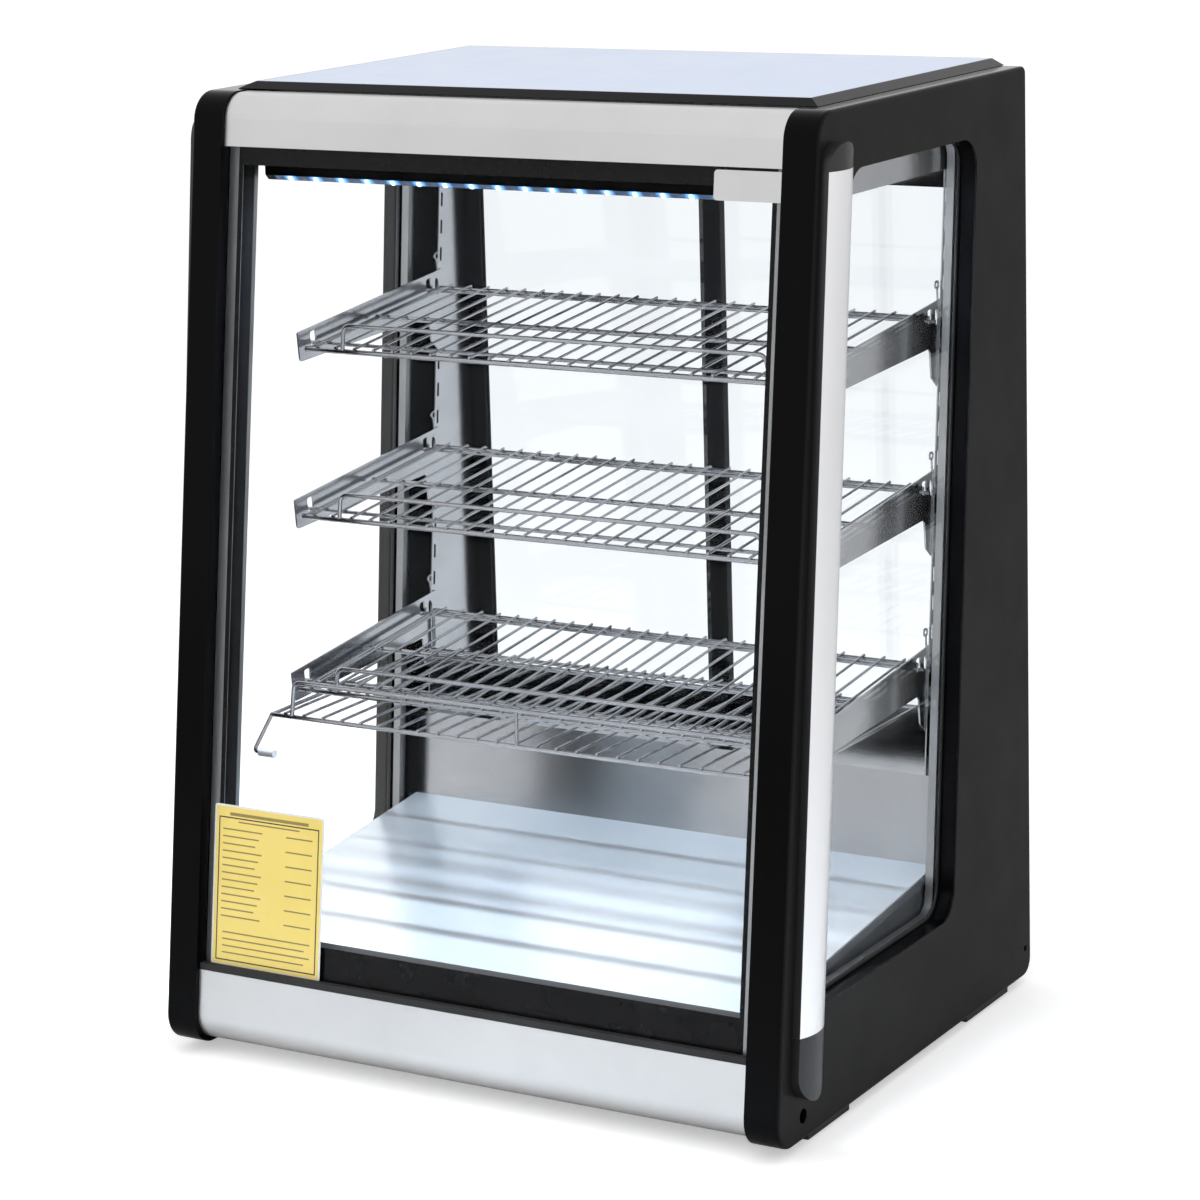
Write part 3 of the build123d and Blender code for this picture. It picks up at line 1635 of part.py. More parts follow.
with BuildPart() as drain_tube:
    with BuildLine() as drain_route:
        FilletPolyline(
            (-pipe_x, pipe_y, evaporator_low + 6),
            (-pipe_x, pipe_y, pipe_run_z),
            (drain_tray_x + 30, drain_tray_y, pipe_run_z - 20),
            (drain_tray_x + 30, drain_tray_y, base_inside + drain_tray_wall + 4),
            radius=pipe_bend,
        )
    with BuildSketch(Plane(origin=drain_route.line @ 0, z_dir=drain_route.line % 0)):
        Circle(drain_radius)
    sweep(path=drain_route.line)
save("drain_tube", drain_tube)

with BuildPart() as drain_tray:
    with Locations((drain_tray_x, drain_tray_y, base_inside)):
        Box(
            drain_tray_width,
            drain_tray_length,
            drain_tray_height,
            align=(Align.CENTER, Align.CENTER, Align.MIN),
        )
    with Locations((drain_tray_x, drain_tray_y, base_inside + drain_tray_wall)):
        Box(
            drain_tray_width - 2 * drain_tray_wall,
            drain_tray_length - 2 * drain_tray_wall,
            drain_tray_height,
            align=(Align.CENTER, Align.CENTER, Align.MIN),
            mode=Mode.SUBTRACT,
        )
save("drain_tray", drain_tray)

# Badge plate: a bare plate on the front glass

badge_left = 259.0
badge_right = 339.0
badge_bottom = 959.0
badge_height = 31.0
badge_thickness = 1.6
badge_radius = 4.0
badge_front_setback = front_glass_setback

with BuildPart() as badge_plate:
    badge_middle_z = badge_bottom + badge_height / 2
    face_normal = (0, -cos(radians(lean_angle)), sin(radians(lean_angle)))
    badge_plane = Plane(
        origin=(
            (badge_left + badge_right) / 2,
            front_y(badge_middle_z) + badge_front_setback / cos(radians(lean_angle)),
            badge_middle_z,
        ),
        x_dir=(1, 0, 0),
        z_dir=face_normal,
    )
    with BuildSketch(badge_plane):
        RectangleRounded(badge_right - badge_left, badge_height, badge_radius)
    extrude(amount=badge_thickness)
save("badge_plate", badge_plate)
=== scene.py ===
"""Countertop refrigerated display case: finishes, added pieces, light and camera."""

import json
import logging
import math
from dataclasses import dataclass, field
from enum import Enum
from typing import Callable, Iterable, Optional, Sequence

import bmesh
import bpy
from mathutils import Matrix, Vector


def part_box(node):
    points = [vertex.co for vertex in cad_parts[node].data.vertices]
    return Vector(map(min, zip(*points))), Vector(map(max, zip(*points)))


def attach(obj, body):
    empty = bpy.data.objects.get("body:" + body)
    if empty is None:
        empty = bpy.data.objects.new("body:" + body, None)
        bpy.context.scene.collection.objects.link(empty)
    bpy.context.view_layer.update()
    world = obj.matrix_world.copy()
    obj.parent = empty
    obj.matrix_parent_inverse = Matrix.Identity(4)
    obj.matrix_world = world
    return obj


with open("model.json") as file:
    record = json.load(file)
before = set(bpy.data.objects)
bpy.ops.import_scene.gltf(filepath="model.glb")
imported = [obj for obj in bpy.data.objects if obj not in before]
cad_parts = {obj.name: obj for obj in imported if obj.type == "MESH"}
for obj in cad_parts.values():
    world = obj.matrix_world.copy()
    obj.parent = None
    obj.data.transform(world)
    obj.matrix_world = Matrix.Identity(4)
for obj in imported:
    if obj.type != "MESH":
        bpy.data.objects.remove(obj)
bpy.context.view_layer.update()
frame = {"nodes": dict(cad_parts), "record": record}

LOG = logging.getLogger("display_case")
MM = 0.001
Colour = tuple[float, float, float]
Point = tuple[float, float, float]
Pair = tuple[float, float]
Socket = bpy.types.NodeSocket
Node = bpy.types.Node
Tree = bpy.types.NodeTree
Material = bpy.types.Material
Piece = bpy.types.Object
Box = tuple[float, float, float, float]


# Sizes of the case that the added pieces sit on


@dataclass(frozen=True)
class CaseSizes:
    """Places on the case, in metres."""

    base_z: float = 9 * MM
    back_y: float = 318.5 * MM
    bottom_depth: float = 637 * MM
    top_depth: float = 505 * MM
    side_height: float = 1042 * MM
    inner_x: float = 341 * MM
    glass_setback: float = 13 * MM
    pane: float = 4 * MM
    glazing: float = 17 * MM
    window_bottom: float = 137 * MM
    window_top: float = 986.5 * MM
    window_front_margin: float = 76 * MM
    window_back_top_margin: float = 129 * MM
    window_back_lean: float = 0.0944

    @property
    def lean(self) -> float:
        """Slope of the front, back per unit of height."""
        return (self.bottom_depth - self.top_depth) / self.side_height

    @property
    def lean_angle(self) -> float:
        """Angle of the front from upright, in radians."""
        return math.atan(self.lean)

    def front_y(self, z: float) -> float:
        """Y of the side panels' front edge at height z."""
        return self.back_y - self.bottom_depth + (z - self.base_z) * self.lean

    def window_back_y(self, z: float) -> float:
        """Y of the side window's back edge at height z."""
        drop = (self.window_top - z) * self.window_back_lean
        return self.back_y - self.window_back_top_margin - drop

    def on_front(self, x: float, z: float, setback: float) -> Vector:
        """A point behind the sloped front by setback, square to the slope.

        Args:
            x: Place across the case.
            z: Height on the front line.
            setback: Distance behind the side panels' front plane.

        Returns:
            The point in the case's own frame.
        """
        y = self.front_y(z) + setback / math.cos(self.lean_angle)
        return Vector((x, y, z))


SIZES = CaseSizes()


# Shared surface effects, built once as node groups


class Effect(Enum):
    """Node groups that more than one finish uses."""

    GRAIN = "moulded_grain"
    BRUSHED = "brushed_lines"
    DUST = "soft_dust"


class EffectShelf:
    """Builds and keeps the shared node groups."""

    def __init__(self) -> None:
        """Start with no groups built."""
        self.groups: dict[Effect, Tree] = {}

    def get(self, effect: Effect) -> Tree:
        """The node group of an effect, built at first use."""
        if effect not in self.groups:
            makers: dict[Effect, Callable[[], Tree]] = {
                Effect.GRAIN: self._grain,
                Effect.BRUSHED: self._brushed,
                Effect.DUST: self._dust,
            }
            self.groups[effect] = makers[effect]()
        return self.groups[effect]

    def _open(self, effect: Effect, inputs: Sequence[tuple[str, float]]) -> tuple:
        """Start a group with a vector input, float inputs and a value output."""
        tree = bpy.data.node_groups.new(effect.value, "ShaderNodeTree")
        tree.interface.new_socket(name="Place", in_out="INPUT", socket_type="NodeSocketVector")
        for name, value in inputs:
            socket = tree.interface.new_socket(name=name, in_out="INPUT", socket_type="NodeSocketFloat")
            socket.default_value = value
        tree.interface.new_socket(name="Value", in_out="OUTPUT", socket_type="NodeSocketFloat")
        start = tree.nodes.new("NodeGroupInput")
        end = tree.nodes.new("NodeGroupOutput")
        return tree, start, end

    def _close(self, tree: Tree, ends: Sequence[Node], noise: Node) -> Node:
        """Put a noise out between the group's low and high inputs.

        Args:
            tree: The group.
            ends: Its input and output nodes.
            noise: The noise to put out.

        Returns:
            The node that maps the noise.
        """
        start, end = ends
        reach = tree.nodes.new("ShaderNodeMapRange")
        tree.links.new(noise.outputs["Fac"], reach.inputs["Value"])
        tree.links.new(start.outputs["Low"], reach.inputs["To Min"])
        tree.links.new(start.outputs["High"], reach.inputs["To Max"])
        tree.links.new(reach.outputs["Result"], end.inputs["Value"])
        return reach

    def _grain(self) -> Tree:
        """Fine even grain of a moulded or rolled surface."""
        tree, start, end = self._open(Effect.GRAIN, [("Scale", 900.0), ("Low", 0.0), ("High", 1.0)])
        noise = tree.nodes.new("ShaderNodeTexNoise")
        noise.inputs["Detail"].default_value = 3.0
        tree.links.new(start.outputs["Place"], noise.inputs["Vector"])
        tree.links.new(start.outputs["Scale"], noise.inputs["Scale"])
        self._close(tree, (start, end), noise)
        return tree

    def _brushed(self) -> Tree:
        """Long fine lines along X, as a brushed or drawn metal has."""
        tree, start, end = self._open(
            Effect.BRUSHED, [("Along", 6.0), ("Across", 1400.0), ("Low", 0.0), ("High", 1.0)]
        )
        stretch = tree.nodes.new("ShaderNodeVectorMath")
        stretch.operation = "MULTIPLY"
        sides = tree.nodes.new("ShaderNodeCombineXYZ")
        noise = tree.nodes.new("ShaderNodeTexNoise")
        noise.inputs["Scale"].default_value = 1.0
        noise.inputs["Detail"].default_value = 4.0
        tree.links.new(start.outputs["Along"], sides.inputs["X"])
        tree.links.new(start.outputs["Across"], sides.inputs["Y"])
        tree.links.new(start.outputs["Across"], sides.inputs["Z"])
        tree.links.new(start.outputs["Place"], stretch.inputs[0])
        tree.links.new(sides.outputs["Vector"], stretch.inputs[1])
        tree.links.new(stretch.outputs["Vector"], noise.inputs["Vector"])
        self._close(tree, (start, end), noise)
        return tree

    def _dust(self) -> Tree:
        """Large soft patches, for slight differences in gloss and colour."""
        tree, start, end = self._open(Effect.DUST, [("Scale", 9.0), ("Low", 0.0), ("High", 1.0)])
        noise = tree.nodes.new("ShaderNodeTexNoise")
        noise.inputs["Detail"].default_value = 5.0
        noise.inputs["Roughness"].default_value = 0.62
        tree.links.new(start.outputs["Place"], noise.inputs["Vector"])
        tree.links.new(start.outputs["Scale"], noise.inputs["Scale"])
        reach = self._close(tree, (start, end), noise)
        reach.inputs["From Min"].default_value = 0.3
        reach.inputs["From Max"].default_value = 0.7
        return tree


EFFECTS = EffectShelf()


class MaterialDesk:
    """A material's tree with short ways to add what the finishes share."""

    def __init__(self, name: str) -> None:
        """Open a new material with a Principled shader.

        Args:
            name: The finish's name.
        """
        self.material = bpy.data.materials.new(name)
        self.material.use_nodes = True
        self.tree = self.material.node_tree
        self.shader = self.tree.nodes["Principled BSDF"]
        self.place = self.tree.nodes.new("ShaderNodeTexCoord").outputs["Object"]

    def set(self, **values: object) -> None:
        """Set the shader's own sockets; underscores stand for spaces."""
        for name, value in values.items():
            socket = self.shader.inputs[name.replace("_", " ")]
            socket.default_value = (*value, 1.0) if isinstance(value, tuple) else value

    def link(self, source: Socket, target: str) -> None:
        """Feed one of the shader's sockets."""
        self.tree.links.new(source, self.shader.inputs[target])

    def effect(self, effect: Effect, **values: float) -> Socket:
        """Place a shared effect with this material's own values.

        Args:
            effect: The node group to place.
            **values: Values of the group's inputs.

        Returns:
            The group's value output.
        """
        node = self.tree.nodes.new("ShaderNodeGroup")
        node.node_tree = EFFECTS.get(effect)
        for name, value in values.items():
            node.inputs[name].default_value = value
        self.tree.links.new(self.place, node.inputs["Place"])
        return node.outputs["Value"]

    def blend(self, mask: Socket, low: Colour, high: Colour) -> Socket:
        """A colour that goes from low to high with a mask."""
        node = self.tree.nodes.new("ShaderNodeMix")
        node.data_type = "RGBA"
        node.inputs["A"].default_value = (*low, 1.0)
        node.inputs["B"].default_value = (*high, 1.0)
        self.tree.links.new(mask, node.inputs["Factor"])
        return node.outputs["Result"]

    def span(self, value: Socket, ends: Pair, out: Pair) -> Socket:
        """Map a value from one range onto another, held at the ends."""
        node = self.tree.nodes.new("ShaderNodeMapRange")
        node.inputs["From Min"].default_value = ends[0]
        node.inputs["From Max"].default_value = ends[1]
        node.inputs["To Min"].default_value = out[0]
        node.inputs["To Max"].default_value = out[1]
        self.tree.links.new(value, node.inputs["Value"])
        return node.outputs["Result"]

    def product(self, first: Socket, second: Socket) -> Socket:
        """Multiply two values."""
        node = self.tree.nodes.new("ShaderNodeMath")
        node.operation = "MULTIPLY"
        self.tree.links.new(first, node.inputs[0])
        self.tree.links.new(second, node.inputs[1])
        return node.outputs["Value"]

    def axis(self, name: str, absolute: bool = False) -> Socket:
        """One coordinate of the object's own space.

        Args:
            name: X, Y or Z.
            absolute: Whether both sides of the case read alike.

        Returns:
            The coordinate, in metres.
        """
        split = self.tree.nodes.new("ShaderNodeSeparateXYZ")
        self.tree.links.new(self.place, split.inputs["Vector"])
        if not absolute:
            return split.outputs[name]
        size = self.tree.nodes.new("ShaderNodeMath")
        size.operation = "ABSOLUTE"
        self.tree.links.new(split.outputs[name], size.inputs[0])
        return size.outputs["Value"]

    def repeat(self, value: Socket, pitch: float) -> Socket:
        """Distance from the nearest whole multiple of a pitch.

        Args:
            value: The coordinate, in metres.
            pitch: The spacing of the multiples, in metres.

        Returns:
            The distance, in metres.
        """
        near = self.tree.nodes.new("ShaderNodeMath")
        near.operation = "PINGPONG"
        near.inputs[1].default_value = pitch / 2
        self.tree.links.new(value, near.inputs[0])
        return near.outputs["Value"]

    def bump(self, height: Socket, strength: float, distance: float) -> None:
        """Feed the shader's normal from a height."""
        node = self.tree.nodes.new("ShaderNodeBump")
        node.inputs["Strength"].default_value = strength
        node.inputs["Distance"].default_value = distance
        self.tree.links.new(height, node.inputs["Height"])
        self.link(node.outputs["Normal"], "Normal")


# Finishes


@dataclass(frozen=True)
class MouldedFinish:
    """A moulded or painted surface with patches of gloss and a fine grain.

    The mirror value is the strength of the plain gloss, and the grain is a count per metre.
    """

    name: str
    low: Colour
    high: Colour
    roughness: Pair = (0.3, 0.42)
    grain: float = 900.0
    relief: float = 0.05
    patch: float = 9.0
    mirror: float = 0.5
    grain_depth: float = 0.0004
    gloss_patch: float = 1.7

    def build(self) -> Material:
        """Make the material."""
        desk = MaterialDesk(self.name)
        desk.set(Specular_IOR_Level=self.mirror)
        patches = desk.effect(Effect.DUST, Scale=self.patch)
        desk.link(desk.blend(patches, self.low, self.high), "Base Color")
        low, high = self.roughness
        gloss = desk.effect(Effect.DUST, Scale=self.patch * self.gloss_patch, Low=low, High=high)
        desk.link(gloss, "Roughness")
        desk.bump(desk.effect(Effect.GRAIN, Scale=self.grain), self.relief, self.grain_depth)
        return desk.material


@dataclass(frozen=True)
class PanelFinish:
    """The side panels: gloss on the edges, satin on the wide outer faces."""

    name: str = "side_panel_black"
    gloss: Colour = (0.0015, 0.0015, 0.0018)
    satin: Colour = (0.011, 0.0104, 0.0102)
    face_x: float = 379.4 * MM
    face_fade: float = 2 * MM
    roughness: Pair = (0.11, 0.42)
    grain: float = 1300.0
    relief: float = 0.035
    grain_depth: float = 0.0003
    mirror: float = 0.06

    def build(self) -> Material:
        """Make the material."""
        desk = MaterialDesk(self.name)
        desk.set(Specular_IOR_Level=self.mirror)
        face = desk.span(desk.axis("X", True), (self.face_x - self.face_fade, self.face_x), (0.0, 1.0))
        patches = desk.effect(Effect.DUST, Scale=5.0, Low=0.85, High=1.0)
        mask = desk.product(face, patches)
        desk.link(desk.blend(mask, self.gloss, self.satin), "Base Color")
        rough = desk.span(face, (0.0, 1.0), self.roughness)
        spread = desk.effect(Effect.DUST, Scale=14.0, Low=0.9, High=1.15)
        desk.link(desk.product(rough, spread), "Roughness")
        desk.bump(desk.effect(Effect.GRAIN, Scale=self.grain), self.relief, self.grain_depth)
        return desk.material


@dataclass(frozen=True)
class MetalFinish:
    """A metal with fine drawn lines and soft patches.

    The lines are counted per metre along them and across them.
    """

    name: str
    low: Colour
    high: Colour
    roughness: Pair = (0.2, 0.3)
    along: float = 6.0
    across: float = 1400.0
    relief: float = 0.06
    metal: float = 1.0
    patch: float = 6.0
    line_depth: float = 0.0002
    relief_share: float = 0.7

    def build(self) -> Material:
        """Make the material."""
        desk = MaterialDesk(self.name)
        desk.set(Metallic=self.metal)
        patches = desk.effect(Effect.DUST, Scale=self.patch)
        desk.link(desk.blend(patches, self.low, self.high), "Base Color")
        low, high = self.roughness
        lines = desk.effect(Effect.BRUSHED, Along=self.along, Across=self.across, Low=low, High=high)
        desk.link(lines, "Roughness")
        height = desk.effect(Effect.BRUSHED, Along=self.along, Across=self.across * self.relief_share)
        desk.bump(height, self.relief, self.line_depth)
        return desk.material


@dataclass(frozen=True)
class BarFinish:
    """The side bars: silver crowned face between two dark side strips."""

    name: str = "side_bar_silver"
    silver: Colour = (0.93, 0.93, 0.945)
    dark: Colour = (0.018, 0.018, 0.02)
    edge_x: float = 388.4 * MM
    edge_fade: float = 0.2 * MM
    roughness: Pair = (0.3, 0.4)
    spread_grain: float = 1600.0
    relief_grain: float = 2400.0
    relief: float = 0.04
    grain_depth: float = 0.0002

    def build(self) -> Material:
        """Make the material."""
        desk = MaterialDesk(self.name)
        ends = (self.edge_x - self.edge_fade, self.edge_x + self.edge_fade)
        edge = desk.span(desk.axis("X", True), ends, (0.0, 1.0))
        desk.link(desk.blend(edge, self.dark, self.silver), "Base Color")
        desk.link(edge, "Metallic")
        low, high = self.roughness
        desk.link(desk.effect(Effect.GRAIN, Scale=self.spread_grain, Low=low, High=high), "Roughness")
        desk.bump(desk.effect(Effect.GRAIN, Scale=self.relief_grain), self.relief, self.grain_depth)
        return desk.material


@dataclass(frozen=True)
class GlassFinish:
    """Clear glass that a light passes and that mirrors more at a low angle.

    A plain pane lets the ray through unbent, but for the share that body and the viewing angle give to the
    shader. A solid pane bends every ray and mirrors what is inside the case.
    """

    name: str
    tint: Colour = (0.94, 0.965, 0.96)
    body: float = 0.005
    solid: bool = False
    index: float = 1.45
    tint_spread: float = 0.02
    smear: float = 0.012
    low_angle_power: float = 5.0

    def build(self) -> Material:
        """Make the material."""
        desk = MaterialDesk(self.name)
        desk.set(Transmission_Weight=1.0, IOR=self.index, Metallic=0.0)
        patches = desk.effect(Effect.DUST, Scale=3.0)
        clear = tuple(min(1.0, part + self.tint_spread) for part in self.tint)
        desk.link(desk.blend(patches, self.tint, clear), "Base Color")
        desk.link(desk.effect(Effect.DUST, Scale=12.0, Low=0.0, High=self.smear), "Roughness")
        if not self.solid:
            desk.link(self.cover(desk), "Alpha")
        return desk.material

    def cover(self, desk: MaterialDesk) -> Socket:
        """How much of a ray meets the shader: more at a low angle, none from inside the pane.

        Args:
            desk: The material's desk.

        Returns:
            The share, from 0 to 1.
        """
        facing = desk.tree.nodes.new("ShaderNodeLayerWeight")
        facing.inputs["Blend"].default_value = 0.5
        power = desk.tree.nodes.new("ShaderNodeMath")
        power.operation = "POWER"
        power.inputs[1].default_value = self.low_angle_power
        desk.tree.links.new(facing.outputs["Facing"], power.inputs[0])
        side = desk.tree.nodes.new("ShaderNodeNewGeometry")
        outer = desk.span(side.outputs["Backfacing"], (0.0, 1.0), (1.0, 0.0))
        mirror = desk.span(power.outputs["Value"], (0.0, 1.0), (self.body, 1.0))
        return desk.product(mirror, outer)


@dataclass(frozen=True)
class LampFinish:
    """A lens that glows: the core colour in the middle of each point, the edge colour round it."""

    name: str = "light_point_glow"
    core: Colour = (0.8, 0.9, 1.0)
    edge: Colour = (0.12, 0.38, 1.0)
    strength: Pair = (5.0, 1.6)
    pitch: float = 33.3 * MM
    reach: Pair = (0.9 * MM, 2.6 * MM)
    base: tuple[Colour, Colour] = ((0.85, 0.87, 0.9), (0.95, 0.97, 1.0))

    def build(self) -> Material:
        """Make the material."""
        desk = MaterialDesk(self.name)
        away = desk.repeat(desk.axis("X"), self.pitch)
        fade = desk.span(away, self.reach, (0.0, 1.0))
        desk.link(desk.blend(fade, self.core, self.edge), "Emission Color")
        desk.link(desk.span(away, self.reach, self.strength), "Emission Strength")
        desk.link(desk.blend(desk.effect(Effect.GRAIN, Scale=400.0), *self.base), "Base Color")
        desk.link(desk.effect(Effect.GRAIN, Scale=700.0, Low=0.3, High=0.5), "Roughness")
        return desk.material


@dataclass(frozen=True)
class FinishBook:
    """Every finish of the case by the record's slot."""

    slots: dict = field(
        default_factory=lambda: {
            "black_panel": MouldedFinish(
                "black_moulding",
                (0.0008, 0.0008, 0.001),
                (0.0016, 0.0016, 0.002),
                (0.14, 0.22),
                1200.0,
                0.006,
                mirror=0.07,
            ),
            "clear_glass": GlassFinish("window_glass"),
            "spacer_metal": MetalFinish(
                "spacer_aluminium", (0.3, 0.31, 0.32), (0.42, 0.43, 0.44), (0.4, 0.5)
            ),
            "black_rubber": MouldedFinish(
                "black_rubber", (0.01, 0.01, 0.01), (0.02, 0.02, 0.02), (0.6, 0.75), 1500.0, 0.12
            ),
            "satin_trim": MetalFinish(
                "satin_aluminium",
                (0.62, 0.62, 0.625),
                (0.68, 0.68, 0.686),
                (0.3, 0.4),
                5.0,
                1800.0,
                0.05,
            ),
            "pale_panel": MouldedFinish(
                "pale_cover", (0.35, 0.48, 0.74), (0.38, 0.51, 0.77), (0.12, 0.18), 700.0, 0.002
            ),
            "stainless": MetalFinish(
                "brushed_stainless",
                (0.4, 0.415, 0.44),
                (0.5, 0.515, 0.54),
                (0.14, 0.24),
                5.0,
                1500.0,
                0.05,
            ),
            "dark_plastic": MouldedFinish(
                "dark_plastic", (0.008, 0.008, 0.009), (0.016, 0.016, 0.017), (0.28, 0.4), 1300.0, 0.08
            ),
            "steel_sheet": MouldedFinish(
                "powder_coat", (0.02, 0.02, 0.021), (0.032, 0.032, 0.034), (0.45, 0.58), 1800.0, 0.2
            ),
            "foam": MouldedFinish(
                "cut_foam", (0.035, 0.04, 0.048), (0.06, 0.066, 0.076), (0.8, 0.95), 260.0, 0.3
            ),
            "chrome_wire": MetalFinish(
                "bright_wire", (0.34, 0.35, 0.37), (0.44, 0.45, 0.475), (0.1, 0.16), 30.0, 600.0, 0.02
            ),
            "grey_plastic": MouldedFinish(
                "grey_plastic", (0.42, 0.42, 0.43), (0.52, 0.52, 0.53), (0.4, 0.5), 800.0, 0.06
            ),
            "compressor_shell": MouldedFinish(
                "black_enamel", (0.006, 0.006, 0.006), (0.014, 0.014, 0.014), (0.2, 0.32), 500.0, 0.08
            ),
            "coil_metal": MetalFinish("bare_fins", (0.5, 0.51, 0.52), (0.66, 0.67, 0.68), (0.28, 0.42)),
            "motor_metal": MetalFinish(
                "motor_case", (0.32, 0.32, 0.33), (0.44, 0.44, 0.45), (0.35, 0.5)
            ),
            "copper_pipe": MetalFinish(
                "copper_tube", (0.62, 0.26, 0.13), (0.75, 0.36, 0.2), (0.22, 0.34)
            ),
            "key_plastic": MouldedFinish(
                "green_key", (0.006, 0.12, 0.035), (0.01, 0.16, 0.05), (0.18, 0.26), 900.0, 0.03
            ),
            "light_lens": LampFinish(),
        }
    )

    def build(self) -> dict[str, Material]:
        """Make every finish once, by slot name."""
        return {slot: finish.build() for slot, finish in self.slots.items()}


class Dresser:
    """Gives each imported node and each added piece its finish."""

    def __init__(self) -> None:
        """Build the finishes."""
        self.book = FinishBook().build()
        self.panel = PanelFinish().build()
        self.bar = BarFinish().build()
        self.extra: dict[str, Material] = {}

    def special(self, finish: object) -> Material:
        """A finish outside the record's slots, made once."""
        if finish.name not in self.extra:
            self.extra[finish.name] = finish.build()
        return self.extra[finish.name]

    def dress_nodes(self) -> None:
        """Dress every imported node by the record's slot, or by a finish of its own."""
        slots = {part["node"]: part["material_slot"] for part in frame["record"]["subparts"]}
        floor = MetalFinish(
            "polished_floor",
            (0.76, 0.8, 0.85),
            (0.82, 0.86, 0.9),
            (0.2, 0.28),
            along=5.0,
            across=1500.0,
            relief=0.01,
            metal=0.55,
        )
        door_glass = self.special(GlassFinish("door_glass", (0.86, 0.9, 0.93), solid=True))
        own = {
            "left_side_frame": self.panel,
            "right_side_frame": self.panel,
            "left_trim_bar": self.bar,
            "right_trim_bar": self.bar,
            "floor_pan": self.special(floor),
            "left_door_glass": door_glass,
            "right_door_glass": door_glass,
        }
        for name, obj in frame["nodes"].items():
            wear(obj, own.get(name, self.book[slots[name]]))
            LOG.info("dressed node %s", name)


def wear(obj: Piece, material: Material) -> None:
    """Give an object one material over its whole surface."""
    obj.data.materials.clear()
    obj.data.materials.append(material)


# Modelling by hand


